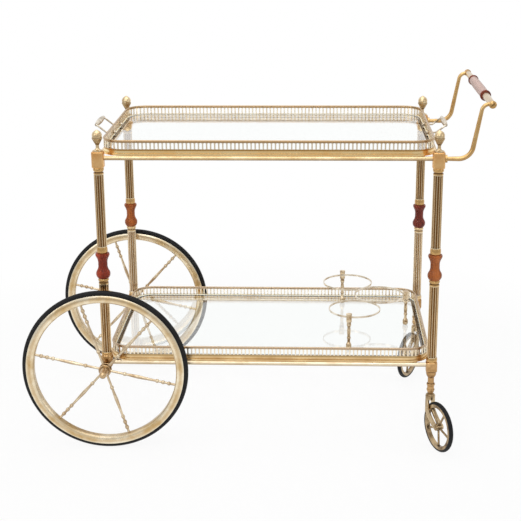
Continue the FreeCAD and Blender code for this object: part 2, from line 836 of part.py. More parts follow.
def tray_gallery(name, bottom):
    # eight pierced pieces soldered end to end: a face with its slots, drawn up to the thickness
    radius = number("tray_corner_radius")
    straight_x = number(tray_half_x) - radius
    straight_y = number(tray_half_y) - radius
    wall_radius = radius - number("band_wall / 2")
    long_strip = pierced_strip(2 * straight_x)
    long_strip.translate(Vector(0, -straight_y - wall_radius, 0))
    short_strip = pierced_strip(2 * straight_y)
    short_strip.rotate(Vector(), z_way, 90)
    short_strip.translate(Vector(straight_x + wall_radius, 0, 0))
    corner = pierced_corner(wall_radius)
    corner.translate(Vector(straight_x, straight_y, 0))
    pieces = []
    for piece in (long_strip, short_strip):
        pieces += [piece, piece.mirror(Vector(), y_way if piece is long_strip else x_way)]
    far_corner = corner.mirror(Vector(), x_way)
    for piece in (corner, far_corner):
        pieces += [piece, piece.mirror(Vector(), y_way)]
    gallery = doc.addObject("Part::Feature", name)
    gallery.Shape = Part.makeCompound(pieces)
    height = f"{bottom} + band_height"
    return keep(place(gallery, centre_x, z=height), name)


def tray_handles(bottom):
    # loop of two stubs, two rising arms and a barrel grip, on the right end; its copy on the left
    # each stub goes through a slot of the gallery, with a collar outside and a cap nut inside
    wall_x = f"({centre_x} + {tray_half_x} - band_wall / 2)"
    face_x = f"({wall_x} + gallery_thickness / 2 + fit_gap)"
    nut_x = f"({wall_x} - gallery_thickness / 2 - fit_gap)"
    root_z = f"({bottom} + tray_root_height)"
    straight = number(f"2 * ({tray_half_y} - tray_corner_radius)")
    wanted = number("tray_grip_spacing / 2")
    arm_y = f"({min(slot_middles(straight), key=lambda middle: abs(middle - wanted))})"
    arm = "tray_arm_diameter / 2"
    stub_start = f"({nut_x} - tray_nut_side)"
    stub_length = f"({face_x} + tray_stub_length - {stub_start})"
    knee_x = f"({face_x} + tray_stub_length)"
    run = "(tray_grip_reach - tray_stub_length)"
    arm_length = f"sqrt({run}^2 + tray_grip_rise^2)"
    pieces = [
        rod("tray_stub", "tray_arm_diameter", stub_length, stub_start, arm_y, root_z, z_to_x),
        rod("tray_collar", "tray_collar_diameter", "tray_collar_height", face_x, arm_y, root_z, z_to_x),
        rod("tray_arm", "tray_arm_diameter", arm_length, knee_x, arm_y, root_z,
            axis=y_way, angle=f"atan2({run}; tray_grip_rise)"),
    ]
    for name, x, z in (("tray_knee", knee_x, root_z),
                       ("tray_shoulder", f"{face_x} + tray_grip_reach", f"{root_z} + tray_grip_rise")):
        ball = doc.addObject("Part::Sphere", name)
        bind(ball, Radius=arm)
        pieces.append(place(ball, x, arm_y, z))
    pieces += [mirror(piece, piece.Name + "_front", y_way) for piece in pieces]
    end = "tray_grip_end_diameter / 2"
    bulge = "(tray_grip_diameter - tray_grip_end_diameter) / 2"
    barrel = turned("tray_barrel", [
        ("0", f"-{arm_y}"),
        (end, f"-{arm_y}", bulge),
        (end, arm_y),
        ("0", arm_y),
    ])
    place(barrel, f"{face_x} + tray_grip_reach", z=f"{root_z} + tray_grip_rise", turn=z_to_front)
    loop = fuse("tray_loop", pieces + [barrel])
    thread = f"{arm} + fit_gap"
    thread_end = "tray_nut_side + fit_gap"
    nut_radius = "tray_nut_diameter / 2"
    nut = turned("tray_nut", [
        (thread, "0"),
        (nut_radius, "0"),
        (nut_radius, "tray_nut_side", cap_bulge(nut_radius, "tray_nut_height - tray_nut_side")),
        ("0", "tray_nut_height"),
        ("0", thread_end),
        (thread, thread_end),
    ])
    place(nut, nut_x, arm_y, root_z, turn=Rotation(y_way, -90))
    right = group("tray_handle_right", [loop, nut, mirror(nut, "tray_nut_front", y_way)])
    keep(mirror(right, "tray_handle_left", x_way, centre_x), "tray_handle_left")


def trays():
    for prefix, rail_z in (("tray", "top_rail_z"), ("shelf", shelf_rail_z)):
        bottom = f"({rail_z} + {tray_seat})"
        tray_band(prefix + "_band", bottom)
        tray_gallery(prefix + "_gallery", bottom)
        tray_glass(prefix + "_glass", bottom)
    tray_handles(f"(top_rail_z + {tray_seat})")


def bottle_post(name, ring_distance):
    # the ring's centre lies on the post's -X side
    head_bottom = "post_height - post_head_height"
    bead_bottom = f"{head_bottom} - post_bead_height"
    low_bead_top = "post_low_bead_start + post_low_bead_height"
    body = turned(name, [
        ("0", "0"),
        ("post_base_diameter / 2", "0", "post_base_bulge"),
        ("post_base_diameter / 2", "post_base_height"),
        ("post_neck_diameter / 2", "post_neck_start"),
        ("post_neck_diameter / 2", "post_low_bead_start"),
        ("post_low_bead_diameter / 2", "post_low_bead_start", "post_low_bead_bulge"),
        ("post_low_bead_diameter / 2", low_bead_top),
        ("post_shaft_foot_diameter / 2", low_bead_top, "post_shaft_bulge"),
        ("post_shaft_top_diameter / 2", bead_bottom),
        ("post_bead_diameter / 2", bead_bottom, "post_bead_bulge"),
        ("post_bead_diameter / 2", head_bottom),
        ("post_head_diameter / 2", head_bottom),
        ("post_head_diameter / 2", "post_height - post_rim_height"),
        ("post_rim_diameter / 2", "post_height - post_rim_height"),
        ("post_rim_diameter / 2", "post_height"),
        ("0", "post_height"),
    ])
    sketch = new_sketch(body, "XZ_Plane", shift_x=f"-{ring_distance}")
    inner = "ring_inner_diameter / 2 - fit_gap"
    outer = "ring_inner_diameter / 2 + ring_wall + fit_gap"
    low = "ring_height - fit_gap"
    high = "ring_height + ring_strip_height + fit_gap"
    outline(sketch, [(inner, low), (outer, low), (outer, high), (inner, high)])
    notch = body.newObject("PartDesign::Groove", "Notch")
    notch.Profile = sketch
    notch.ReferenceAxis = (sketch, ["V_Axis"])
    notch.Angle = 360
    return body


def bottle_holder():
    outer = "(ring_inner_diameter / 2 + ring_wall)"
    post_distance = "(ring_inner_diameter / 2 + post_head_diameter / 2)"
    spacing = f"(2 * {outer} + fit_gap)"
    middle_x = f"({centre_x} + ring_x)"
    back_x = f"({middle_x} - {spacing} * cos(ring_back_angle))"
    back_y = f"(ring_y + {spacing} * sin(ring_back_angle))"
    fore_x = f"({middle_x} - {spacing} * cos(ring_front_angle))"
    fore_y = f"(ring_y - {spacing} * sin(ring_front_angle))"
    level = f"({shelf_glass_top} + ring_height)"
    posts = []
    for name, x, y, angle, way in (("right", middle_x, "ring_y", "post_right_angle", 1),
                                   ("back", back_x, back_y, "post_back_angle", 1),
                                   ("front", fore_x, fore_y, "post_front_angle", -1)):
        ring = turned(f"bottle_ring_{name}", [
            ("ring_inner_diameter / 2", "0"),
            (outer, "0"),
            (outer, "ring_strip_height"),
            ("ring_inner_diameter / 2", "ring_strip_height"),
        ])
        keep(place(ring, x, y, level), f"bottle_ring_{name}")
        post = bottle_post(f"bottle_post_{name}", post_distance)
        posts.append(place(post, f"{x} + {post_distance} * cos({angle})",
                           f"{y} + {way} * {post_distance} * sin({angle})", shelf_glass_top,
                           axis=z_way * way, angle=angle))
    group("bottle_posts", posts)


def bend(name, radius, diameter, x, z, turn):
    piece = doc.addObject("Part::Torus", name)
    bind(piece, Radius1=radius, Radius2=f"{diameter} / 2", Angle3="handle_lean_angle")
    return place(piece, x, front_y, z, turn)


def cone(name, first, second, length, x, z, angle):
    # starts along +Z and is turned about Y
    piece = doc.addObject("Part::Cone", name)
    bind(piece, Radius1=f"{first} / 2", Radius2=f"{second} / 2", Height=length)
    return place(piece, x, front_y, z, axis=y_way, angle=angle)


def handle_arm():
    # tenon, collar, straight run, bend up, leaning run, bend over and the boss for the cross bar
    face_x = f"({right_x} + {block_half})"
    bar_x = f"({right_x} + handle_reach)"
    bar_z = "(top_rail_z + handle_rise)"
    drop = "(1 - cos(handle_lean_angle))"
    lean = (f"((handle_rise - (handle_low_bend + handle_top_bend) * {drop})"
            " / sin(handle_lean_angle))")
    top_x = f"({bar_x} - handle_end_run)"
    lean_end_x = f"({top_x} - handle_top_bend * sin(handle_lean_angle))"
    lean_start_x = f"({lean_end_x} - {lean} * cos(handle_lean_angle))"
    bend_x = f"({lean_start_x} - handle_low_bend * sin(handle_lean_angle))"
    run_x = f"({face_x} + handle_collar_height)"
    low_start = Rotation(-z_way, x_way, -y_way, "XYZ")
    top_start = Rotation(z_way, -x_way, -y_way, "XYZ")
    pieces = [
        rod("arm_tenon", "handle_tenon_diameter", "handle_tenon_depth + handle_collar_height",
            f"{face_x} - handle_tenon_depth", front_y, "top_rail_z", z_to_x),
        rod("arm_collar", "handle_collar_diameter", "handle_collar_height", face_x, front_y,
            "top_rail_z", z_to_x),
        cone("arm_run", "handle_root_diameter", "handle_bend_diameter", f"{bend_x} - {run_x}",
             run_x, "top_rail_z", "90"),
        bend("arm_low_bend", "handle_low_bend", "handle_bend_diameter", bend_x,
             "top_rail_z + handle_low_bend", low_start),
        cone("arm_lean", "handle_bend_diameter", "handle_top_diameter", lean, lean_start_x,
             f"top_rail_z + handle_low_bend * {drop}", "90 - handle_lean_angle"),
        bend("arm_top_bend", "handle_top_bend", "handle_top_diameter", top_x,
             f"{bar_z} - handle_top_bend", top_start),
        rod("arm_end", "handle_top_diameter", "handle_end_run", top_x, front_y, bar_z, z_to_x),
        rod("arm_boss", "handle_boss_diameter", "handle_boss_length", bar_x,
            f"{front_y} + handle_boss_length / 2", bar_z, z_to_front),
    ]
    whole = fuse("arm_whole", pieces)
    hole = rod("arm_hole", "(screw_diameter + 2 * fit_gap)", "handle_boss_length + 2 * cut_overrun",
               bar_x, f"{front_y} + handle_boss_length / 2 + cut_overrun", bar_z, z_to_front)
    arm = doc.addObject("Part::Cut", "handle_arm_front")
    arm.Base = whole
    arm.Tool = hole
    return arm


def push_handle():
    arm = keep(handle_arm(), "handle_arm_front")
    keep(mirror(arm, "handle_arm_back", y_way), "handle_arm_back")
    bar_x = f"({right_x} + handle_reach)"
    bar_z = "(top_rail_z + handle_rise)"
    half_bar = "((leg_spacing_y - handle_boss_length) / 2)"
    half_grip = "(grip_length / 2)"
    grip_bore = "(bar_diameter / 2 + fit_gap)"
    screw_bore = "(screw_diameter / 2 + fit_gap)"

    bar = turned("handle_bar", [
        ("0", f"-{half_bar}"),
        ("bar_diameter / 2", f"-{half_bar}"),
        ("bar_diameter / 2", half_bar),
        ("0", half_bar),
    ])
    depth = "screw_in_bar + fit_gap"
    bore(bar, screw_bore, depth, z=f"-{half_bar}")
    bore(bar, screw_bore, depth, z=f"{half_bar} - ({depth})")
    keep(place(bar, bar_x, z=bar_z, turn=z_to_front), "handle_bar")

    ring = "grip_ring_diameter / 2"
    end = "grip_end_diameter / 2"
    swell = "(grip_middle_diameter - grip_end_diameter) / 2"
    grip = turned("handle_grip", [
        (grip_bore, f"-{half_grip}"),
        (f"{ring} - grip_ring_bulge", f"-{half_grip}", "grip_ring_bulge"),
        (f"{ring} - grip_ring_bulge", f"-{half_grip} + grip_ring_width"),
        (end, f"-{half_grip} + grip_ring_width", swell),
        (end, f"{half_grip} - grip_ring_width"),
        (f"{ring} - grip_ring_bulge", f"{half_grip} - grip_ring_width", "grip_ring_bulge"),
        (f"{ring} - grip_ring_bulge", half_grip),
        (grip_bore, half_grip),
    ])
    keep(place(grip, bar_x, z=bar_z, turn=z_to_front), "handle_grip")

    ferrule = turned("handle_ferrule", [
        (grip_bore, half_grip),
        ("ferrule_wide_diameter / 2", half_grip),
        ("ferrule_wide_diameter / 2", f"{half_grip} + ferrule_rim_width"),
        ("ferrule_narrow_diameter / 2", half_bar),
        (grip_bore, half_bar),
    ])
    place(ferrule, bar_x, z=bar_z, turn=z_to_front)
    front_and_back(ferrule, "handle_ferrules")

    head = "screw_head_diameter / 2"
    screw = turned("handle_screw", [
        ("0", "-handle_boss_length - screw_in_bar"),
        ("screw_diameter / 2", "-handle_boss_length - screw_in_bar"),
        ("screw_diameter / 2", "0"),
        (head, "0"),
        (head, "screw_head_height / 2", cap_bulge(head, "screw_head_height / 2")),
        ("0", "screw_head_height"),
    ])
    sketch = new_sketch(screw, "XY_Plane", "screw_head_height")
    slot = "screw_slot_width / 2"
    corners = []
    for along, across in ((-1, -1), (1, -1), (1, 1), (-1, 1)):
        end, side = f"{along} * {head}", f"{across} * {slot}"
        corners.append((f"{end} * cos(screw_slot_angle) - {side} * sin(screw_slot_angle)",
                        f"{end} * sin(screw_slot_angle) + {side} * cos(screw_slot_angle)"))
    outline(sketch, corners)
    pocket(screw, sketch, "screw_slot_depth")
    place(screw, bar_x, f"{front_y} - handle_boss_length / 2", bar_z, z_to_front)
    front_and_back(screw, "handle_screws")


def axle_and_nuts():
    nut_start = "(leg_spacing_y / 2 + wheel_offset + hub_nose + side_gap)"
    half_axle = f"({nut_start} + nut_thread_depth)"
    keep(rod("axle", "axle_diameter", f"2 * {half_axle}", left_x, half_axle, "wheel_radius",
             z_to_front), "axle")
    thread = "axle_diameter / 2 + fit_gap"
    depth = "nut_thread_depth + fit_gap"
    knob = "nut_knob_diameter / 2"
    nut = turned("axle_nut", [
        (thread, "0"),
        ("nut_flange_diameter / 2", "0"),
        ("nut_flange_diameter / 2", "nut_flange_height"),
        ("nut_waist_diameter / 2", "nut_flange_height"),
        (knob, "nut_knob_height"),
        (knob, "nut_dome_height", cap_bulge(knob, "nut_length - nut_dome_height")),
        ("0", "nut_length"),
        ("0", depth),
        (thread, depth),
    ])
    place(nut, left_x, f"-{nut_start}", "wheel_radius", z_to_front)
    front_and_back(nut, "axle_cap_nuts")


def wheel_spokes(name, inner, outer):
    thin = "spoke_thin_diameter / 2"
    bead = "spoke_bead_diameter / 2 - spoke_bead_bulge"
    half_bead = "spoke_bead_width / 2"
    tip = "spoke_tip_diameter / 2"
    points = [(inner, "0"), (outer, "0"), (outer, tip)]
    shoulder = f"{outer} - spoke_in_rim - fit_gap"
    points += [(shoulder, tip), (shoulder, thin)]
    # the beads and the vase keep their share of the wheel's radius
    stretch = "wheel_radius / spoke_drawn_radius"
    for place_name in ("spoke_third_bead", "spoke_second_bead", "spoke_first_bead"):
        middle = f"{place_name} * {stretch}"
        points += [(f"{middle} + {half_bead}", thin), (f"{middle} + {half_bead}", bead, "spoke_bead_bulge"),
                   (f"{middle} - {half_bead}", bead), (f"{middle} - {half_bead}", thin)]
    points += [(f"spoke_vase_end * {stretch}", thin),
               (f"spoke_vase_middle * {stretch}", "spoke_vase_diameter / 2")]
    middle = f"spoke_inner_bead * {stretch}"
    points += [(f"{middle} + {half_bead}", thin), (f"{middle} + {half_bead}", bead, "spoke_bead_bulge"),
               (f"{middle} - {half_bead}", bead), (f"{middle} - {half_bead}", thin)]
    points += [("hub_diameter / 2 + fit_gap", thin), ("hub_diameter / 2 + fit_gap", tip), (inner, tip)]
    body = new_body(name)
    spoke = revolve(body, "XY_Plane", "H_Axis", points)
    around(body, spoke, "Y_Axis", "spoke_count")
    return body


def large_wheel():
    tread = "wheel_radius"
    rim_outer = "(wheel_radius - tyre_depth)"
    rim_inner = f"({rim_outer} - rim_depth)"
    groove = f"({rim_outer} - rim_groove_depth)"
    half_rim = "rim_width / 2"
    half_groove = "rim_groove_width / 2"
    hub_radius = "hub_diameter / 2"
    spoke_inner = f"({hub_radius} - spoke_in_hub)"
    spoke_outer = f"({rim_inner} + spoke_in_rim)"
    spoke_hole = "spoke_tip_diameter / 2 + fit_gap"
    shoulder = f"({rim_outer} + tyre_shoulder)"
    pieces = {}
    pieces["tyre"] = wheel_turned("front_wheel_tyre", [
        (f"{groove} + fit_gap", f"-{half_groove} + fit_gap"),
        (f"{rim_outer} + fit_gap", f"-{half_groove} + fit_gap"),
        (f"{rim_outer} + fit_gap", "-tyre_width / 2"),
        (shoulder, "-tyre_width / 2", f"{tread} - {shoulder}"),
        (shoulder, "tyre_width / 2"),
        (f"{rim_outer} + fit_gap", "tyre_width / 2"),
        (f"{rim_outer} + fit_gap", f"{half_groove} - fit_gap"),
        (f"{groove} + fit_gap", f"{half_groove} - fit_gap"),
    ])
    rim = wheel_turned("front_wheel_rim", [
        (rim_inner, f"-{half_rim} + rim_chamfer"),
        (f"{rim_inner} + rim_chamfer", f"-{half_rim}", "rim_face_bulge"),
        (rim_outer, f"-{half_rim}"),
        (rim_outer, f"-{half_groove}"),
        (groove, f"-{half_groove}"),
        (groove, half_groove),
        (rim_outer, half_groove),
        (rim_outer, half_rim, "rim_face_bulge"),
        (f"{rim_inner} + rim_chamfer", half_rim),
        (rim_inner, f"{half_rim} - rim_chamfer"),
    ])
    hole = bore(rim, spoke_hole, "spoke_in_rim + fit_gap + cut_overrun",
                x=f"{rim_inner} - cut_overrun", turn=z_to_x)
    around(rim, hole, "Y_Axis", "spoke_count")
    pieces["rim"] = rim
    sleeve_end = "wheel_offset - foot_diameter / 2 - side_gap"
    flange = "hub_flange_diameter / 2 - hub_flange_bulge"
    axle_bore = "axle_diameter / 2 + run_gap"
    hub = wheel_turned("front_wheel_hub", [
        (axle_bore, "-hub_nose"),
        (hub_radius, "-hub_nose"),
        (hub_radius, "-hub_flange_outer"),
        (flange, "-hub_flange_outer", "hub_flange_bulge"),
        (flange, "-hub_flange_inner"),
        (hub_radius, "-hub_flange_inner"),
        (hub_radius, "hub_flange_inner"),
        (flange, "hub_flange_inner", "hub_flange_bulge"),
        (flange, "hub_flange_outer"),
        ("hub_sleeve_diameter / 2", "hub_flange_outer"),
        ("hub_sleeve_diameter / 2", sleeve_end),
        (axle_bore, sleeve_end),
    ])
    hole = bore(hub, spoke_hole, "spoke_in_hub + fit_gap + cut_overrun",
                x=f"{spoke_inner} - fit_gap", turn=z_to_x)
    around(hub, hole, "Y_Axis", "spoke_count")
    pieces["hub"] = hub
    pieces["spokes"] = wheel_spokes("front_wheel_spokes", spoke_inner, spoke_outer)
    for part_name, piece in pieces.items():
        place(piece, left_x, wheel_y, "wheel_radius", axis=-y_way, angle="spoke_start_angle")
        keep(piece, "front_wheel_" + part_name)
        keep(mirror(piece, "back_wheel_" + part_name, y_way), "back_wheel_" + part_name)


def caster_fork(name):
    body = turned(name, [
        ("0", f"{crown_top} - crown_height"),
        ("crown_diameter / 2", f"{crown_top} - crown_height"),
        ("crown_diameter / 2", f"{crown_top} - crown_height + crown_rim_height", "crown_bulge"),
        ("crown_top_diameter / 2", crown_top),
        ("caster_stem_diameter / 2", crown_top),
        ("caster_stem_diameter / 2", f"{crown_top} + {stem_length}"),
        ("0", f"{crown_top} + {stem_length}"),
    ])
    sketch = new_sketch(body, "XZ_Plane", prong_inner)
    half = "prong_width / 2"
    top = f"{crown_top} - crown_height + crown_rim_height"
    eye = "prong_eye_diameter / 2"
    eye_x = f"{eye} * sin(prong_slope)"
    eye_z = f"{eye} * cos(prong_slope)"
    quarter = f"{eye} * (1 - sqrt(0.5))"
    outline(sketch, [
        (f"-{half}", top),
        (f"-{half}", "caster_radius + prong_knee_rise", "prong_curve"),
        (f"caster_trail - {eye_x}", f"caster_radius - {eye_z}", quarter),
        (f"caster_trail + {eye_z}", f"caster_radius - {eye_x}", quarter),
        (f"caster_trail + {eye_x}", f"caster_radius + {eye_z}", "-prong_curve"),
        (half, "caster_radius + prong_crotch_rise"),
        (half, top),
    ])
    prong = pad(body, sketch, "prong_thickness")
    pair = body.newObject("PartDesign::Mirrored", "Pair")
    pair.Originals = [prong]
    pair.MirrorPlane = (origin_part(body, "XZ_Plane"), [""])
    body.Tip = pair
    span = f"2 * ({prong_inner} + prong_thickness + cut_overrun)"
    bore(body, "caster_pin_diameter / 2 + fit_gap", span, "caster_trail", f"({span}) / 2",
         "caster_radius", z_to_front)
    return body


def caster_wheel(name):
    rim_outer = "(caster_radius - caster_tyre_depth)"
    rim_inner = f"({rim_outer} - caster_rim_depth)"
    groove = f"({rim_outer} - caster_groove_depth)"
    half_rim = "caster_rim_width / 2"
    half_groove = "caster_groove_width / 2"
    half_hub = "caster_hub_width / 2"
    body = wheel_turned(name, [
        ("0", f"-{half_hub}"),
        ("caster_hub_diameter / 2", f"-{half_hub}"),
        ("caster_hub_diameter / 2", half_hub),
        ("0", half_hub),
    ])
    spoke = body.newObject("PartDesign::AdditiveCylinder", "Spoke")
    bind(spoke, Radius="caster_spoke_diameter / 2", Height=f"{rim_inner} + caster_groove_depth / 2")
    place(spoke, axis=y_way, angle="90 + caster_spoke_start")
    around(body, spoke, "Y_Axis", "caster_spoke_count")
    body.Tip = revolve(body, "XY_Plane", "V_Axis", [
        (rim_inner, f"-{half_rim}"),
        (rim_outer, f"-{half_rim}"),
        (rim_outer, f"-{half_groove}"),
        (groove, f"-{half_groove}"),
        (groove, half_groove),
        (rim_outer, half_groove),
        (rim_outer, half_rim),
        (rim_inner, half_rim),
    ])
    bore(body, "caster_pin_diameter / 2 + run_gap", "caster_hub_width + 2 * cut_overrun",
         y=f"{half_hub} + cut_overrun", turn=z_to_front)
    return body


def caster_tyre(name):
    rim_outer = "(caster_radius - caster_tyre_depth)"
    groove = f"({rim_outer} - caster_groove_depth)"
    half_groove = "caster_groove_width / 2"
    shoulder = f"({rim_outer} + caster_tyre_shoulder)"
    return wheel_turned(name, [
        (f"{groove} + fit_gap", f"-{half_groove} + fit_gap"),
        (f"{rim_outer} + fit_gap", f"-{half_groove} + fit_gap"),
        (f"{rim_outer} + fit_gap", "-caster_tyre_width / 2"),
        (shoulder, "-caster_tyre_width / 2", f"caster_radius - {shoulder}"),
        (shoulder, "caster_tyre_width / 2"),
        (f"{rim_outer} + fit_gap", "caster_tyre_width / 2"),
        (f"{rim_outer} + fit_gap", f"{half_groove} - fit_gap"),
        (f"{groove} + fit_gap", f"{half_groove} - fit_gap"),
    ])


def caster_pin(name):
    half = f"({prong_inner} + prong_thickness)"
    head = "caster_pin_head_diameter / 2"
    shank = "caster_pin_diameter / 2"
    edge = "caster_pin_head_height / 3"
    dome = cap_bulge(head, f"caster_pin_head_height - {edge}")
    return wheel_turned(name, [
        ("0", f"-{half} - caster_pin_head_height", dome),
        (head, f"-{half} - {edge}"),
        (head, f"-{half}"),
        (shank, f"-{half}"),
        (shank, half),
        (head, half),
        (head, f"{half} + {edge}", dome),
        ("0", f"{half} + caster_pin_head_height"),
    ])


def casters():
    for end, y, turn_size in (("front", front_y, "caster_front_turn"),
                              ("back", f"-{front_y}", "caster_back_turn")):
        fork = caster_fork(f"{end}_caster_fork")
        keep(place(fork, right_x, y, axis=-z_way, angle=turn_size), f"{end}_caster_fork")
        axle_x = f"{right_x} + caster_trail * cos({turn_size})"
        axle_y = f"{y} - caster_trail * sin({turn_size})"
        pin = caster_pin(f"{end}_caster_pin")
        wheel = caster_wheel(f"{end}_caster_wheel")
        tyre = caster_tyre(f"{end}_caster_tyre")
        for piece, part_name in ((pin, "pin"), (wheel, "wheel"), (tyre, "tyre")):
            keep(place(piece, axle_x, axle_y, "caster_radius", axis=-z_way, angle=turn_size),
                 f"{end}_caster_{part_name}")


def check_and_write():
    doc.recompute()
    for thing in doc.Objects:
        if "Invalid" in thing.State or "Error" in thing.State:
            owner = thing.getParentGeoFeatureGroup()
            raise RuntimeError(f"{owner.Label if owner else thing.Label}: {thing.getStatusString()}")
        if thing.TypeId in ("PartDesign::Pocket", "PartDesign::Groove", "PartDesign::SubtractiveCylinder"):
            if thing.Shape.Volume >= thing.BaseFeature.Shape.Volume:
                raise RuntimeError(f"{thing.Label} cuts nothing")
    for name, thing in nodes.items():
        if thing.Shape.isNull() or not thing.Shape.isValid():
            raise RuntimeError(f"{name} has no valid shape")
    os.makedirs("parts", exist_ok=True)
    for name, thing in nodes.items():
        thing.Shape.exportStep(f"parts/{name}.step")
    print(len(nodes), "nodes written")


legs()
rails()
trays()
bottle_holder()
push_handle()
axle_and_nuts()
large_wheel()
casters()
check_and_write()
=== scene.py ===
import math
import bmesh
import bpy
from mathutils import Matrix, Vector


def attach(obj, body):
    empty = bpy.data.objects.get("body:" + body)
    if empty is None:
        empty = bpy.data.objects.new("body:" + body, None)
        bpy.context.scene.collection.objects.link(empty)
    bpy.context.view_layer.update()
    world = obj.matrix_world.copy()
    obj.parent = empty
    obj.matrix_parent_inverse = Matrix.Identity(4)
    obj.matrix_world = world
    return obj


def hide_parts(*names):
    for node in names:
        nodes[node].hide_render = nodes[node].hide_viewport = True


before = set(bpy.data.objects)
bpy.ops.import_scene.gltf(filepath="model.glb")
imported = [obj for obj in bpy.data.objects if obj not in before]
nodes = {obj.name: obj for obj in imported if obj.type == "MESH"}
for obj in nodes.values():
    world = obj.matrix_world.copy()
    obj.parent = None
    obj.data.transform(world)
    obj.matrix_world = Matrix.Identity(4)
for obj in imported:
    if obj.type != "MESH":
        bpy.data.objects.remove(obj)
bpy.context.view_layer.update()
scene = bpy.context.scene
scene.view_settings.view_transform = "Standard"


# the photograph's viewing point, worked out from the legs, rails and wheels
cameraSetup = {
    "place": (0.118257, -2.486929, 1.098213),
    "pitch": 0.300117,
    "yaw": 0.044737,
    "roll": -0.007510,
    "lens": 85.03,
    "sensor": 36.0,
}


def makeCamera(setup):
    pitch, yaw, roll = setup["pitch"], setup["yaw"], setup["roll"]
    level = Vector((-math.sin(yaw), math.cos(yaw), 0))
    side = Vector((math.cos(yaw), math.sin(yaw), 0))
    upright = Vector((0, 0, 1))
    forward = level * math.cos(pitch) - upright * math.sin(pitch)
    up = upright * math.cos(pitch) + level * math.sin(pitch)
    right = side * math.cos(roll) + up * math.sin(roll)
    up = up * math.cos(roll) - side * math.sin(roll)
    turn = Matrix((right, up, -forward)).transposed().to_4x4()
    data = bpy.data.cameras.new("photoCamera")
    data.lens, data.sensor_width = setup["lens"], setup["sensor"]
    data.clip_start, data.clip_end = 0.05, 100
    camera = bpy.data.objects.new("photoCamera", data)
    camera.matrix_world = Matrix.Translation(setup["place"]) @ turn
    scene.collection.objects.link(camera)
    scene.camera = camera


makeCamera(cameraSetup)
print("camera set")


# small helpers for node trees
def paint(code):  # an sRGB hex code as a linear colour
    parts = [int(code[i:i + 2], 16) / 255 for i in (0, 2, 4)]
    return tuple(c / 12.92 if c <= 0.04045 else ((c + 0.055) / 1.055) ** 2.4 for c in parts) + (1.0,)


def addNode(tree, kind, values=None, links=None, **settings):
    node = tree.nodes.new(kind)
    for key, value in settings.items():
        setattr(node, key, value)
    for key, value in (values or {}).items():
        node.inputs[key].default_value = value
    for key, socket in (links or {}).items():
        tree.links.new(socket, node.inputs[key])
    return node


def newFinish(name):
    finish = bpy.data.materials.new(name)
    finish.use_nodes = True
    tree = finish.node_tree
    tree.nodes.clear()
    shader = addNode(tree, "ShaderNodeBsdfPrincipled")
    output = addNode(tree, "ShaderNodeOutputMaterial")
    tree.links.new(shader.outputs["BSDF"], output.inputs["Surface"])
    place = addNode(tree, "ShaderNodeTexCoord").outputs["Object"]
    return finish, tree, shader, place


def stretched(tree, place, scale, turn=(0, 0, 0)):
    return addNode(tree, "ShaderNodeMapping", {"Scale": scale, "Rotation": turn},
                   {"Vector": place}).outputs["Vector"]


def cloud(tree, place, scale, detail=3.0, rough=0.55):
    return addNode(tree, "ShaderNodeTexNoise", {"Scale": scale, "Detail": detail, "Roughness": rough},
                   {"Vector": place}).outputs["Fac"]


def ranged(tree, value, low, high, start=0.0, end=1.0):
    return addNode(tree, "ShaderNodeMapRange",
                   {"From Min": low, "From Max": high, "To Min": start, "To Max": end},
                   {"Value": value}).outputs["Result"]


def mixed(tree, share, first, second):
    node = addNode(tree, "ShaderNodeMix", data_type="RGBA")
    for socket, colour in ((node.inputs[6], first), (node.inputs[7], second)):
        if isinstance(colour, tuple):
            socket.default_value = colour
        else:
            tree.links.new(colour, socket)
    tree.links.new(share, node.inputs[0])
    return node.outputs[2]


def combined(tree, kind, first, second):
    node = addNode(tree, "ShaderNodeMath", operation=kind)
    for socket, value in zip(node.inputs, (first, second)):
        if isinstance(value, (int, float)):
            socket.default_value = value
        else:
            tree.links.new(value, socket)
    return node.outputs[0]


def bumped(tree, shader, height, distance, strength=1.0):
    bump = addNode(tree, "ShaderNodeBump", {"Distance": distance, "Strength": strength},
                   {"Height": height})
    tree.links.new(bump.outputs["Normal"], shader.inputs["Normal"])


def around(tree, place, centre, across):  # distance from an axis; across names the two ways that count
    parts = addNode(tree, "ShaderNodeSeparateXYZ", None, {"Vector": place}).outputs
    squares = []
    for way, middle in zip(across, centre):
        part = parts[way]
        if isinstance(middle, tuple):  # (middle of the cart, distance of the leg from it)
            part = combined(tree, "ABSOLUTE", combined(tree, "SUBTRACT", part, middle[0]), 0.0)
            middle = middle[1]
        step = combined(tree, "SUBTRACT", part, middle)
        squares.append(combined(tree, "MULTIPLY", step, step))
    return combined(tree, "SQRT", combined(tree, "ADD", *squares), 0.0)


def dress(finish, *names):
    for name in names:
        slots = nodes[name].data.materials
        slots.clear()
        slots.append(finish)


# floor and light: a pale studio sweep that shows white, one soft box above, one over the camera,
# two at the sides
studio = {
    "sweep": ((-1.7, -1.2), (1.7, 3.0)),
    "floorColour": (0.9, 0.9, 0.9, 1.0),
    "floorGlow": (0.90, 1.0),
    "shadowReach": (0.75, 1.15),
    "roomFront": 0.60,
    "roomAbove": 0.72,
    "roomBack": 1.0,
    "roomLight": 0.55,
    "backdropRange": (-0.1, 0.35),
    "ceilingRange": (0.25, 0.75),
    "lamps": {
        "softBoxAbove": {"place": (-0.1, -0.3, 2.8), "aim": (0.05, 0.0, 0.3), "size": 2.8, "watts": 30},
        "softBoxFront": {"place": (-0.3, -3.0, 2.3), "aim": (0.0, 0.0, 0.45), "size": 1.8, "watts": 14},
        "softBoxLeft": {"place": (-2.3, -1.9, 1.7), "aim": (0.0, 0.0, 0.4), "size": 1.4, "watts": 10},
        "softBoxRight": {"place": (2.6, -1.6, 1.3), "aim": (0.1, 0.0, 0.4), "size": 1.2, "watts": 5},
    },
}


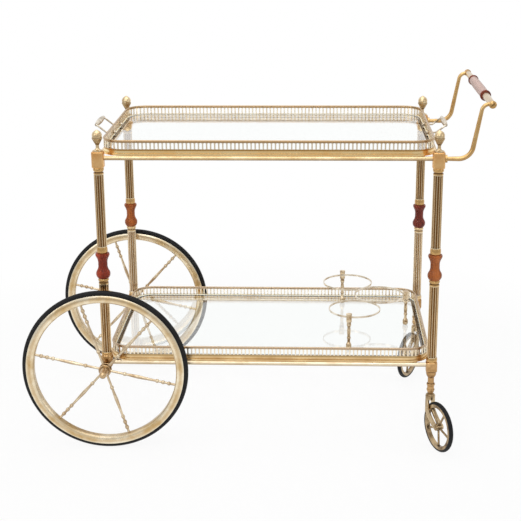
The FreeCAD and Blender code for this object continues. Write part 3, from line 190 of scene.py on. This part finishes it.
def seenDirectly(tree):  # 1 where the eye, a reflection or a look through glass meets the surface
    path = addNode(tree, "ShaderNodeLightPath")
    seen = combined(tree, "MAXIMUM", path.outputs["Is Camera Ray"], path.outputs["Is Glossy Ray"])
    return path, combined(tree, "MAXIMUM", seen, path.outputs["Is Transmission Ray"])


def makeFloor(setup):
    (left, front), (right, back) = setup["sweep"]
    shape = bmesh.new()
    bmesh.ops.create_grid(shape, x_segments=1, y_segments=1, size=0.5)
    bmesh.ops.scale(shape, vec=(right - left, back - front, 1), verts=shape.verts)
    bmesh.ops.translate(shape, vec=((left + right) / 2, (front + back) / 2, 0), verts=shape.verts)
    mesh = bpy.data.meshes.new("floor")
    shape.to_mesh(mesh)
    shape.free()
    floor = bpy.data.objects.new("floor", mesh)
    scene.collection.objects.link(floor)
    finish = bpy.data.materials.new("floorSweep")
    finish.use_nodes = True
    tree = finish.node_tree
    tree.nodes.clear()
    matt = addNode(tree, "ShaderNodeBsdfDiffuse", {"Color": setup["floorColour"]})
    glow = addNode(tree, "ShaderNodeEmission", {"Strength": 1.0})
    place = addNode(tree, "ShaderNodeTexCoord").outputs["Object"]
    away = addNode(tree, "ShaderNodeVectorMath", None, {0: place}, operation="LENGTH").outputs["Value"]
    # the shadow fades out with distance
    white = ranged(tree, away, *setup["shadowReach"], *setup["floorGlow"])
    share = combined(tree, "MULTIPLY", seenDirectly(tree)[1], white)
    blend = addNode(tree, "ShaderNodeMixShader")
    tree.links.new(share, blend.inputs[0])
    tree.links.new(matt.outputs[0], blend.inputs[1])
    tree.links.new(glow.outputs[0], blend.inputs[2])
    output = addNode(tree, "ShaderNodeOutputMaterial")
    tree.links.new(blend.outputs[0], output.inputs["Surface"])
    mesh.materials.append(finish)


def makeRoom(setup):
    world = bpy.data.worlds.new("studioRoom")
    world.use_nodes = True
    scene.world = world
    tree = world.node_tree
    tree.nodes.clear()
    path, seen = seenDirectly(tree)
    direction = addNode(tree, "ShaderNodeTexCoord").outputs["Generated"]
    parts = addNode(tree, "ShaderNodeSeparateXYZ", None, {"Vector": direction}).outputs
    backdrop = ranged(tree, parts["Y"], *setup["backdropRange"], setup["roomFront"], setup["roomBack"])
    ceiling = ranged(tree, parts["Z"], *setup["ceilingRange"], setup["roomFront"], setup["roomAbove"])
    room = combined(tree, "MAXIMUM", backdrop, ceiling)
    clear = combined(tree, "MAXIMUM", path.outputs["Is Camera Ray"], path.outputs["Is Transmission Ray"])
    shown = combined(tree, "MAXIMUM", room, clear)
    white = addNode(tree, "ShaderNodeBackground", None, {"Strength": shown})
    light = addNode(tree, "ShaderNodeBackground", {"Strength": setup["roomLight"]})
    for node in (white, light):
        node.inputs["Color"].default_value = (1, 1, 1, 1)
    blend = addNode(tree, "ShaderNodeMixShader")
    tree.links.new(seen, blend.inputs[0])
    tree.links.new(light.outputs[0], blend.inputs[1])
    tree.links.new(white.outputs[0], blend.inputs[2])
    output = addNode(tree, "ShaderNodeOutputWorld")
    tree.links.new(blend.outputs[0], output.inputs["Surface"])


def makeLamps(setup):
    for name, lamp in setup["lamps"].items():
        data = bpy.data.lights.new(name, "AREA")
        data.shape, data.size, data.energy = "SQUARE", lamp["size"], lamp["watts"]
        holder = bpy.data.objects.new(name, data)
        aim = Vector(lamp["aim"]) - Vector(lamp["place"])
        turn = aim.to_track_quat("-Z", "Y").to_matrix().to_4x4()
        holder.matrix_world = Matrix.Translation(lamp["place"]) @ turn
        scene.collection.objects.link(holder)


makeFloor(studio)
makeRoom(studio)
makeLamps(studio)
print("floor and light set")


# brass: bright where hands and cloths rub it, browner on the legs, a painted shade underneath, brown-black
# grooves that are partly patina and partly painted shade
# shine: roughness when bright and when dull; reach and hollow: how far a groove is felt and how closed it is;
# blotch: the size of the tarnish patches; draw: how the fine lines are stretched;
# paintedUnderShade: the painted shade on faces that look down; ring: painted highlights and shade by the
# distance from an axis;
# bead: the height above which a gallery is browner; foot: the height below which a gallery's outer faces take
# a painted shade;
# scales: the heights between which an acorn's cup takes a painted shade under its scales
legAxes = ((0.030125, 0.325), (0.0, 0.192))
wheelAxis = (-0.294875, 0.1665)
brassFinishes = {
    "railBrass": {
        "bright": "eed7ae", "dull": "d3b27e", "grimeAndShade": "6a4824", "shine": (0.26, 0.38),
        "reach": 0.002, "hollow": (0.28, 0.82), "blotch": 22.0, "paintedUnderShade": ("7f5c31", 0.9),
        "on": ["top_long_rails", "top_short_rails"],
    },
    "shelfRailBrass": {
        "bright": "f8ecd4", "dull": "e4cfab", "grimeAndShade": "6a4824", "shine": (0.26, 0.38),
        "reach": 0.002, "hollow": (0.28, 0.82), "blotch": 22.0, "paintedUnderShade": ("8c6c43", 0.9),
        "on": ["shelf_long_rails", "shelf_short_rail"],
    },
    "bandBrass": {
        "bright": "ffe6b0", "dull": "f3ca88", "grimeAndShade": "7a5222", "shine": (0.20, 0.34),
        "reach": 0.003, "hollow": (0.2, 0.75), "blotch": 16.0, "draw": (0.08, 0.08, 1.0),
        "paintedUnderShade": ("8a6535", 0.8),
        "on": ["tray_band"],
    },
    "shelfBandBrass": {
        "bright": "ebcf9f", "dull": "d0ac78", "grimeAndShade": "684519", "shine": (0.22, 0.36),
        "reach": 0.003, "hollow": (0.2, 0.75), "blotch": 16.0, "draw": (0.08, 0.08, 1.0),
        "paintedUnderShade": ("745329", 0.8),
        "on": ["shelf_band"],
    },
    "trayGalleryBrass": {
        "bright": "fdf2dc", "dull": "e8d2b0", "grimeAndShade": "6b4a26", "shine": (0.22, 0.36),
        "reach": 0.0024, "hollow": (0.36, 0.9), "blotch": 30.0,
        # the foot tone is a painted shade at the feet of the slots
        "bead": (0.6200, "b89b76"), "foot": (0.6074, "ba9052"),
        "on": ["tray_gallery"],
    },
    "shelfGalleryBrass": {
        "bright": "fdf2dc", "dull": "e8d2b0", "grimeAndShade": "6b4a26", "shine": (0.22, 0.36),
        "reach": 0.0024, "hollow": (0.36, 0.9), "blotch": 30.0,
        # the foot tone is a painted shade at the feet of the slots
        "bead": (0.2008, "bda68b"), "foot": (0.1882, "b59766"),
        "on": ["shelf_gallery"],
    },
    "columnBrass": {
        "bright": "cfa671", "dull": "a67c48", "grimeAndShade": "3d220b", "shine": (0.22, 0.36),
        "reach": 0.004, "hollow": (0.3, 0.8), "blotch": 26.0, "draw": (1.0, 1.0, 0.06),
        # the pale flute ridges are a painted highlight; the dark grooves are partly patina and partly painted
        # shade
        "ring": (legAxes, "XY", [(0.0080, "5a3814", 0.85), (0.0087, "a57b49", 0.2), (0.0091, "efd9b2", 0.9),
                                 (0.0096, "efd9b2", 0.9), (0.0099, "caa36a", 0.8)]),
        "on": [f"{end}_column" for end in ("front_left_upper", "front_left_lower", "front_right_upper",
                                           "front_right_lower", "back_left_upper", "back_right_upper")],
    },
    "backLowerColumnBrass": {
        "bright": "e6c9a0", "dull": "c49f70", "grimeAndShade": "573617", "shine": (0.22, 0.36),
        "reach": 0.004, "hollow": (0.3, 0.8), "blotch": 26.0, "draw": (1.0, 1.0, 0.06),
        # the pale flute ridges are a painted highlight; the dark grooves are partly patina and partly painted
        # shade
        "ring": (legAxes, "XY", [(0.0080, "80603a", 0.85), (0.0087, "c6a273", 0.2), (0.0091, "f7ead2", 0.9),
                                 (0.0096, "f7ead2", 0.9), (0.0099, "e2c595", 0.8)]),
        "on": ["back_left_lower_column", "back_right_lower_column"],
    },
    "blockBrass": {
        "bright": "f2c68a", "dull": "d6a163", "grimeAndShade": "6b4220", "shine": (0.30, 0.46),
        "reach": 0.0025, "hollow": (0.28, 0.82), "blotch": 34.0, "draw": (1.0, 1.0, 0.2),
        "on": ["left_top_blocks", "right_top_blocks"],
    },
    "footBrass": {
        "bright": "deb682", "dull": "8f6534", "grimeAndShade": "321c0a", "shine": (0.16, 0.32),
        "reach": 0.005, "hollow": (0.45, 0.95), "blotch": 30.0, "paintedUnderShade": ("6a431f", 0.8),
        "on": [f"{face}_{side}_foot" for face in ("front", "back") for side in ("left", "right")],
    },
    "finialBrass": {
        "bright": "ead4ac", "dull": "c2a67c", "grimeAndShade": "5b4120", "shine": (0.22, 0.38),
        "reach": 0.0025, "hollow": (0.35, 0.86), "blotch": 60.0, "paintedUnderShade": ("80602f", 0.6),
        "scales": (0.6172, 0.6298),
        "on": ["finials"],
    },
    "handleBrass": {
        "bright": "e3c088", "dull": "c1965a", "grimeAndShade": "5f401d", "shine": (0.20, 0.34),
        "reach": 0.003, "hollow": (0.28, 0.82), "blotch": 24.0, "paintedUnderShade": ("7f5a2c", 0.8),
        "on": ["handle_arm_front", "handle_arm_back", "handle_bar", "handle_screws"],
    },
    "paleBrass": {
        "bright": "e0cdae", "dull": "b89a72", "grimeAndShade": "574022", "shine": (0.18, 0.32),
        "reach": 0.003, "hollow": (0.4, 0.92), "blotch": 40.0, "paintedUnderShade": ("6e5230", 0.85),
        "on": ["handle_ferrules"],
    },
    "loopBrass": {
        "bright": "f5ead6", "dull": "836a46", "grimeAndShade": "382712", "shine": (0.18, 0.32),
        "reach": 0.003, "hollow": (0.45, 0.95), "blotch": 70.0, "paintedUnderShade": ("4a361d", 0.92),
        "on": ["tray_handle_left", "tray_handle_right"],
    },
    "holderBrass": {
        "bright": "f4e2c2", "dull": "9c7a50", "grimeAndShade": "452e15", "shine": (0.18, 0.32),
        "reach": 0.004, "hollow": (0.5, 0.97), "blotch": 90.0, "paintedUnderShade": ("654823", 0.8),
        "on": ["bottle_posts"],
    },
    "bottleRingBrass": {
        "bright": "f3eadb", "dull": "c3b093", "grimeAndShade": "4f3c22", "shine": (0.18, 0.32),
        "reach": 0.0025, "hollow": (0.45, 0.92), "blotch": 40.0, "paintedUnderShade": ("80684a", 0.7),
        "on": ["bottle_ring_back", "bottle_ring_front", "bottle_ring_right"],
    },
    "rimBrass": {
        "bright": "fcf1d8", "dull": "cdab70", "grimeAndShade": "70501f", "shine": (0.22, 0.38),
        "reach": 0.003, "hollow": (0.3, 0.85), "blotch": 24.0,
        # the rim's light lines are painted highlights and its darker bands are painted shade
        "ring": (wheelAxis, "XZ", [(0.1437, "8a6a3c", 0.45), (0.1450, "f6e6c6", 0.3),
                                   (0.1474, "c9a566", 0.0), (0.1500, "b58c4c", 0.42),
                                   (0.1532, "b58c4c", 0.42), (0.1557, "c9a566", 0.0),
                                   (0.1562, "e6cd98", 0.0), (0.1572, "f6ecd4", 0.7)]),
        "on": ["front_wheel_rim", "back_wheel_rim"],
    },
    "spokeBrass": {
        "bright": "f0e1c4", "dull": "b99b76", "grimeAndShade": "543a1e", "shine": (0.20, 0.36),
        "reach": 0.0035, "hollow": (0.5, 0.98), "blotch": 44.0, "paintedUnderShade": ("7a5b36", 0.75),
        "on": ["front_wheel_spokes", "back_wheel_spokes", "tie_rods"],
    },
    "hubBrass": {
        "bright": "dcc097", "dull": "a9845c", "grimeAndShade": "3a2510", "shine": (0.18, 0.34),
        "reach": 0.006, "hollow": (0.5, 0.98), "blotch": 70.0, "paintedUnderShade": ("6b4b28", 0.7),
        "on": ["front_wheel_hub", "back_wheel_hub", "axle", "axle_cap_nuts"],
    },
    "casterBrass": {
        "bright": "bfa681", "dull": "5f4830", "grimeAndShade": "201408", "shine": (0.18, 0.36),
        "reach": 0.007, "hollow": (0.55, 1.0), "blotch": 50.0, "paintedUnderShade": ("55401f", 0.8),
        "on": ["front_caster_wheel", "back_caster_wheel", "front_caster_pin", "back_caster_pin"],
    },
    "forkBrass": {
        "bright": "e2caa2", "dull": "765b3b", "grimeAndShade": "2a1a0a", "shine": (0.18, 0.34),
        "reach": 0.006, "hollow": (0.5, 0.98), "blotch": 40.0, "paintedUnderShade": ("6a4c28", 0.8),
        "on": ["front_caster_fork", "back_caster_fork"],
    },
}


brassGrain = {
    "even": (1.0, 1.0, 1.0),
    "patchDetail": (5.0, 0.62), "patchRange": (0.34, 0.68),
    "lineScale": 900.0, "lineDetail": 2.0, "lineHeight": 0.35,
    "lineRange": (0.3, 0.7), "lineShare": (0.75, 1.15),
    "speckScale": 420.0, "speckDetail": (4.0, 0.7), "pitRange": (0.64, 0.74), "pitMost": 0.55,
    "hollowSamples": 12, "grimeAndShadeMost": 0.92, "grimeAndShadeRough": 0.25, "bumpDepth": 0.00006, "bumpStrength": 0.5,
    "downRange": (-0.75, -0.05), "toneEdge": 0.0004, "outsideRange": (0.0, 0.02),
    "cupEdge": 0.0008, "cupShade": 0.8,
}


def brassTones(tree, place, look, metal):
    edge = brassGrain["toneEdge"]
    facing = addNode(tree, "ShaderNodeTexCoord").outputs["Normal"]
    parts = addNode(tree, "ShaderNodeSeparateXYZ", None, {"Vector": place}).outputs
    # painted shade: faces that look down are darkened towards the given tone
    if "paintedUnderShade" in look:
        tone, most = look["paintedUnderShade"]
        down = addNode(tree, "ShaderNodeSeparateXYZ", None, {"Vector": facing}).outputs["Z"]
        metal = mixed(tree, ranged(tree, down, *brassGrain["downRange"], most, 0.0), metal, paint(tone))
    # painted highlights and shade in rings round an axis: pale flute ridges and dark grooves on columns, light
    # lines and darker bands on rims
    if "ring" in look:
        centre, across, bands = look["ring"]
        away = around(tree, place, centre, across)
        ramp = addNode(tree, "ShaderNodeValToRGB")
        strength = addNode(tree, "ShaderNodeValToRGB")
        first, last = bands[0][0], bands[-1][0]
        for index, (radius, tone, share) in enumerate(bands):
            spot = (radius - first) / (last - first)
            for node, colour in ((ramp, paint(tone)), (strength, (share, share, share, 1.0))):
                stops = node.color_ramp.elements
                stop = stops[0] if index == 0 else stops[-1] if index == len(bands) - 1 else stops.new(spot)
                stop.position, stop.color = spot, colour
        for node in (ramp, strength):
            tree.links.new(ranged(tree, away, first, last), node.inputs["Fac"])
        metal = mixed(tree, strength.outputs["Color"], metal, ramp.outputs["Color"])
    if "bead" in look:
        start, tone = look["bead"]
        metal = mixed(tree, ranged(tree, parts["Z"], start - edge, start + edge), metal, paint(tone))
    # painted shade: a gallery's outer faces are darker below the feet of its slots
    if "foot" in look:
        end, tone = look["foot"]
        outside = addNode(tree, "ShaderNodeVectorMath", None, {0: place, 1: facing}, operation="DOT_PRODUCT")
        share = combined(tree, "MULTIPLY", ranged(tree, parts["Z"], end - edge, end + edge, 1.0, 0.0),
                         ranged(tree, outside.outputs["Value"], *brassGrain["outsideRange"]))
        metal = mixed(tree, share, metal, paint(tone))
    return metal


def makeBrass(name, look):
    finish, tree, shader, place = newFinish(name)
    grain = brassGrain
    patch = ranged(tree, cloud(tree, place, look["blotch"], *grain["patchDetail"]), *grain["patchRange"])
    run = stretched(tree, place, look.get("draw", grain["even"]))
    lines = cloud(tree, run, grain["lineScale"], grain["lineDetail"])
    speck = cloud(tree, place, grain["speckScale"], *grain["speckDetail"])
    worn = combined(tree, "MULTIPLY", patch, ranged(tree, lines, *grain["lineRange"], *grain["lineShare"]))
    metal = mixed(tree, worn, paint(look["bright"]), paint(look["dull"]))
    metal = brassTones(tree, place, look, metal)
    pits = ranged(tree, speck, *grain["pitRange"], 0.0, grain["pitMost"])
    metal = mixed(tree, pits, metal, paint(look["grimeAndShade"]))
    # ambient occlusion darkens grooves and hollows: partly patina, partly painted shade
    hollow = addNode(tree, "ShaderNodeAmbientOcclusion", {"Distance": look["reach"]},
                     samples=grain["hollowSamples"], only_local=True).outputs["AO"]
    grimeAndShade = ranged(tree, hollow, *look["hollow"], grain["grimeAndShadeMost"], 0.0)
    height = combined(tree, "ADD", combined(tree, "MULTIPLY", lines, grain["lineHeight"]), speck)
    if "scales" in look:  # painted shade: the acorn's cup is darkened between its scales
        low, high = look["scales"]
        level = addNode(tree, "ShaderNodeSeparateXYZ", None, {"Vector": place}).outputs["Z"]
        cup = combined(tree, "MULTIPLY", ranged(tree, level, low, low + grain["cupEdge"]),
                       ranged(tree, level, high, high + grain["toneEdge"], grain["cupShade"], 0.0))
        grimeAndShade = combined(tree, "MAXIMUM", grimeAndShade, cup)
    tree.links.new(mixed(tree, grimeAndShade, metal, paint(look["grimeAndShade"])), shader.inputs["Base Color"])
    low, high = look["shine"]
    rough = combined(tree, "ADD", ranged(tree, worn, 0.0, 1.0, low, high),
                     combined(tree, "MULTIPLY", grimeAndShade, grain["grimeAndShadeRough"]))
    tree.links.new(rough, shader.inputs["Roughness"])
    shader.inputs["Metallic"].default_value = 1.0
    bumped(tree, shader, height, grain["bumpDepth"], grain["bumpStrength"])
    return finish


for name, look in brassFinishes.items():
    dress(makeBrass(name, look), *look["on"])
print("brass finishes:", len(brassFinishes))


# scales on the four acorn cups, in staggered rows, each a flat shell that stands a little off the cup
# at its upper end; width is a share of the room round the cup
acornScales = {
    "cups": [(x, y) for x in (-0.294875, 0.355125) for y in (-0.192, 0.192)],
    "foot": (0.0033, 0.6167), "brim": (0.0099, 0.6298),  # radius and height of the cup at its two ends
    "rows": 6, "span": (0.30, 0.93), "round": 13,
    "width": 1.12, "length": 0.0017, "taper": (0.55, 0.45), "thick": 0.00055, "lift": 0.16,
    "look": {
        "bright": "e3c99c", "dull": "ad8d5f", "grimeAndShade": "4a3316", "shine": (0.22, 0.38),
        "reach": 0.0016, "hollow": (0.35, 0.9), "blotch": 120.0, "paintedUnderShade": ("80602f", 0.5),
    },
}


def makeScales(setup):
    (footRadius, footHeight), (brimRadius, brimHeight) = setup["foot"], setup["brim"]
    slope = math.atan2(brimRadius - footRadius, brimHeight - footHeight)
    first, last = setup["span"]
    single = bmesh.new()
    bmesh.ops.create_uvsphere(single, u_segments=8, v_segments=4, radius=1.0)
    shell = bpy.data.meshes.new("oneScale")
    single.to_mesh(shell)
    single.free()
    shape = bmesh.new()
    for x, y in setup["cups"]:
        for row in range(setup["rows"]):
            part = first + (last - first) * row / (setup["rows"] - 1)
            radius = footRadius + (brimRadius - footRadius) * part
            height = footHeight + (brimHeight - footHeight) * part
            half = setup["width"] * math.pi * radius / setup["round"]
            small, growth = setup["taper"]
            size = Matrix.Diagonal((half, setup["thick"], setup["length"] * (small + growth * part), 1.0))
            lean = Matrix.Rotation(-slope - setup["lift"], 4, "X")
            for step in range(setup["round"]):
                turn = Matrix.Rotation(2 * math.pi * (step + 0.5 * (row % 2)) / setup["round"], 4, "Z")
                spot = Matrix.Translation((x, y, height)) @ turn @ Matrix.Translation((0, radius, 0))
                shape.from_mesh(shell)
                shape.verts.ensure_lookup_table()
                bmesh.ops.transform(shape, matrix=spot @ lean @ size, verts=shape.verts[-len(shell.vertices):])
    bpy.data.meshes.remove(shell)
    bmesh.ops.recalc_face_normals(shape, faces=shape.faces)
    for face in shape.faces:
        face.smooth = True
    mesh = bpy.data.meshes.new("acornScales")
    shape.to_mesh(mesh)
    shape.free()
    mesh.materials.append(makeBrass("scaleBrass", setup["look"]))
    scales = bpy.data.objects.new("acornScales", mesh)
    scene.collection.objects.link(scales)
    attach(scales, "frame")


makeScales(acornScales)
print("acorn scales:", len(acornScales["cups"]) * acornScales["rows"] * acornScales["round"])


# turned wood: each spool has its own shade of red-brown, with the grain along its length
woodLooks = {
    "frontLeftSpoolWood": {"light": "b5482c", "dark": "621c0e", "on": ["front_left_wood_spool"]},
    "backLeftSpoolWood": {"light": "bd6a30", "dark": "833c14", "on": ["back_left_wood_spool"]},
    "frontRightSpoolWood": {"light": "bb6c36", "dark": "7a3a16", "on": ["front_right_wood_spool"]},
    "backRightSpoolWood": {"light": "934130", "dark": "501a10", "on": ["back_right_wood_spool"]},
    "gripWood": {"light": "8f4632", "dark": "5a2417", "along": "Y", "bleached": ("d9bcb0", 0.0915, 0.8),
                 "on": ["handle_grip"]},
}
woodGrain = {"fibre": 0.045, "fibreScale": 420.0, "fibreShare": 0.35, "ringScale": 60.0, "ringShare": 0.65,
             "toneRange": (0.36, 0.62), "poreScale": 900.0, "poreRange": (0.60, 0.72), "poreMost": 0.7,
             "pore": "2c0f0a", "wornEdge": 0.004, "wornRange": (0.3, 0.6), "wornShare": (1.0, 0.75),
             "glossRange": (0.3, 0.7), "gloss": (0.38, 0.52), "spec": 0.15, "lacquer": 0.18,
             "lacquerRough": 0.1, "bumpDepth": 0.00008, "bumpStrength": 0.5}


def makeWood(name, look):
    finish, tree, shader, place = newFinish(name)
    fine = woodGrain["fibre"]
    along = (1.0, fine, 1.0) if look.get("along") == "Y" else (1.0, 1.0, fine)
    run = stretched(tree, place, along)
    fibre = cloud(tree, run, woodGrain["fibreScale"], 4.0, 0.6)
    figure = cloud(tree, run, woodGrain["ringScale"], 3.0, 0.5)
    pores = ranged(tree, cloud(tree, run, woodGrain["poreScale"], 2.0), *woodGrain["poreRange"],
                   0.0, woodGrain["poreMost"])
    share = combined(tree, "ADD", combined(tree, "MULTIPLY", figure, woodGrain["ringShare"]),
                     combined(tree, "MULTIPLY", fibre, woodGrain["fibreShare"]))
    tone = mixed(tree, ranged(tree, share, *woodGrain["toneRange"]), paint(look["light"]), paint(look["dark"]))
    if "bleached" in look:  # hands have worn the lacquer between the grip's end rings
        pale, half, most = look["bleached"]
        side = addNode(tree, "ShaderNodeSeparateXYZ", None, {"Vector": place}).outputs["Y"]
        away = combined(tree, "ABSOLUTE", side, 0.0)
        middle = ranged(tree, away, half - woodGrain["wornEdge"], half, most, 0.0)
        worn = combined(tree, "MULTIPLY", middle,
                        ranged(tree, figure, *woodGrain["wornRange"], *woodGrain["wornShare"]))
        tone = mixed(tree, worn, tone, paint(pale))
    tree.links.new(mixed(tree, pores, tone, paint(woodGrain["pore"])), shader.inputs["Base Color"])
    rough = ranged(tree, fibre, *woodGrain["glossRange"], *woodGrain["gloss"])
    tree.links.new(rough, shader.inputs["Roughness"])
    shader.inputs["Specular IOR Level"].default_value = woodGrain["spec"]
    shader.inputs["Coat Weight"].default_value = woodGrain["lacquer"]
    shader.inputs["Coat Roughness"].default_value = woodGrain["lacquerRough"]
    height = combined(tree, "SUBTRACT", fibre, pores)
    bumped(tree, shader, height, woodGrain["bumpDepth"], woodGrain["bumpStrength"])
    return finish


for name, look in woodLooks.items():
    dress(makeWood(name, look), *look["on"])
print("wood finishes:", len(woodLooks))


# rubber tyres: near black, with a dusty bloom and fine moulding grain
rubberLook = {"black": "0f0f11", "bloom": "201f1e", "rough": (0.52, 0.7), "spec": 0.25,
              "bloomScale": 28.0, "bloomRange": (0.42, 0.75), "grainScale": 1400.0, "grainDepth": 0.00005,
              "on": ["front_wheel_tyre", "back_wheel_tyre", "front_caster_tyre", "back_caster_tyre"]}


def makeRubber(look):
    finish, tree, shader, place = newFinish("tyreRubber")
    bloom = ranged(tree, cloud(tree, place, look["bloomScale"], 6.0, 0.65), *look["bloomRange"])
    grain = cloud(tree, place, look["grainScale"], 2.0)
    tree.links.new(mixed(tree, bloom, paint(look["black"]), paint(look["bloom"])), shader.inputs["Base Color"])
    tree.links.new(ranged(tree, bloom, 0.0, 1.0, *look["rough"]), shader.inputs["Roughness"])
    shader.inputs["Specular IOR Level"].default_value = look["spec"]
    bumped(tree, shader, grain, look["grainDepth"], 0.6)
    return finish


dress(makeRubber(rubberLook), *rubberLook["on"])
print("rubber set")


# glass panes: clear, with faint wipe marks and a pale ground edge that has a painted glow; each takes the
# place of its CAD pane
glassLook = {
    "tint": (0.965, 0.985, 0.975, 1.0), "bend": 1.6,
    "wipe": (0.0, 0.035), "wipeScale": 9.0, "wipeStretch": (1.0, 3.0, 1.0), "wipeTurn": (0, 0, 0.5),
    "edge": "e6efe8", "edgeRough": 0.55, "paintedEdgeGlow": 0.4, "frostScale": 700.0, "frostDepth": 0.00005,
    "middle": (0.030125, 0.0), "half": (0.3169, 0.1869), "corner": 0.0389, "arris": 0.0006,
    "panes": {"tray_glass": ("top_tray", 0.6015, 0.6065), "shelf_glass": ("frame", 0.1823, 0.1873)},
}


def makeGlass(look):
    finish, tree, shader, place = newFinish("clearGlass")
    run = stretched(tree, place, look["wipeStretch"], look["wipeTurn"])
    wipe = cloud(tree, run, look["wipeScale"], 5.0, 0.6)
    tree.links.new(ranged(tree, wipe, 0.45, 0.75, *look["wipe"]), shader.inputs["Roughness"])
    shader.inputs["Base Color"].default_value = look["tint"]
    shader.inputs["Transmission Weight"].default_value = 1.0
    shader.inputs["IOR"].default_value = look["bend"]
    return finish


def makeGroundEdge(look):
    finish, tree, shader, place = newFinish("groundGlassEdge")
    frost = cloud(tree, place, look["frostScale"], 3.0)
    tree.links.new(mixed(tree, ranged(tree, frost, 0.3, 0.7), paint(look["edge"]), (1.0, 1.0, 1.0, 1.0)),
                   shader.inputs["Base Color"])
    shader.inputs["Roughness"].default_value = look["edgeRough"]
    shader.inputs["Emission Color"].default_value = paint(look["edge"])  # painted glow: the ground edge shines by itself
    shader.inputs["Emission Strength"].default_value = look["paintedEdgeGlow"]
    bumped(tree, shader, frost, look["frostDepth"], 0.5)
    return finish


def makePane(name, look, finishes):
    body, low, high = look["panes"][name]
    (midX, midY), (halfX, halfY) = look["middle"], look["half"]
    shape = bmesh.new()
    corners = [shape.verts.new((midX + x * halfX, midY + y * halfY, low))
               for x, y in ((-1, -1), (1, -1), (1, 1), (-1, 1))]
    shape.faces.new(corners)
    bmesh.ops.bevel(shape, geom=corners, offset=look["corner"], offset_type="OFFSET", affect="VERTICES",
                    segments=16, profile=0.5, material=-1)
    sheet = list(shape.faces)
    raised = bmesh.ops.extrude_face_region(shape, geom=sheet)["geom"]
    lifted = [v for v in raised if isinstance(v, bmesh.types.BMVert)]
    bmesh.ops.translate(shape, vec=(0, 0, high - low), verts=lifted)
    bmesh.ops.recalc_face_normals(shape, faces=shape.faces)
    rims = [e for e in shape.edges if abs(e.verts[0].co.z - e.verts[1].co.z) < 1e-6]
    bmesh.ops.bevel(shape, geom=rims, offset=look["arris"], offset_type="OFFSET", affect="EDGES",
                    segments=2, profile=0.5, material=-1)
    for face in shape.faces:
        face.material_index = 0 if abs(face.normal.z) > 0.999 else 1
    mesh = bpy.data.meshes.new(name + "Pane")
    shape.to_mesh(mesh)
    shape.free()
    for finish in finishes:
        mesh.materials.append(finish)
    pane = bpy.data.objects.new(name + "Pane", mesh)
    scene.collection.objects.link(pane)
    pane.visible_shadow = False  # a clear pane lets the lamps through
    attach(pane, body)
    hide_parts(name)


glassFinishes = (makeGlass(glassLook), makeGroundEdge(glassLook))
for name in glassLook["panes"]:
    makePane(name, glassLook, glassFinishes)
print("glass panes:", len(glassLook["panes"]))
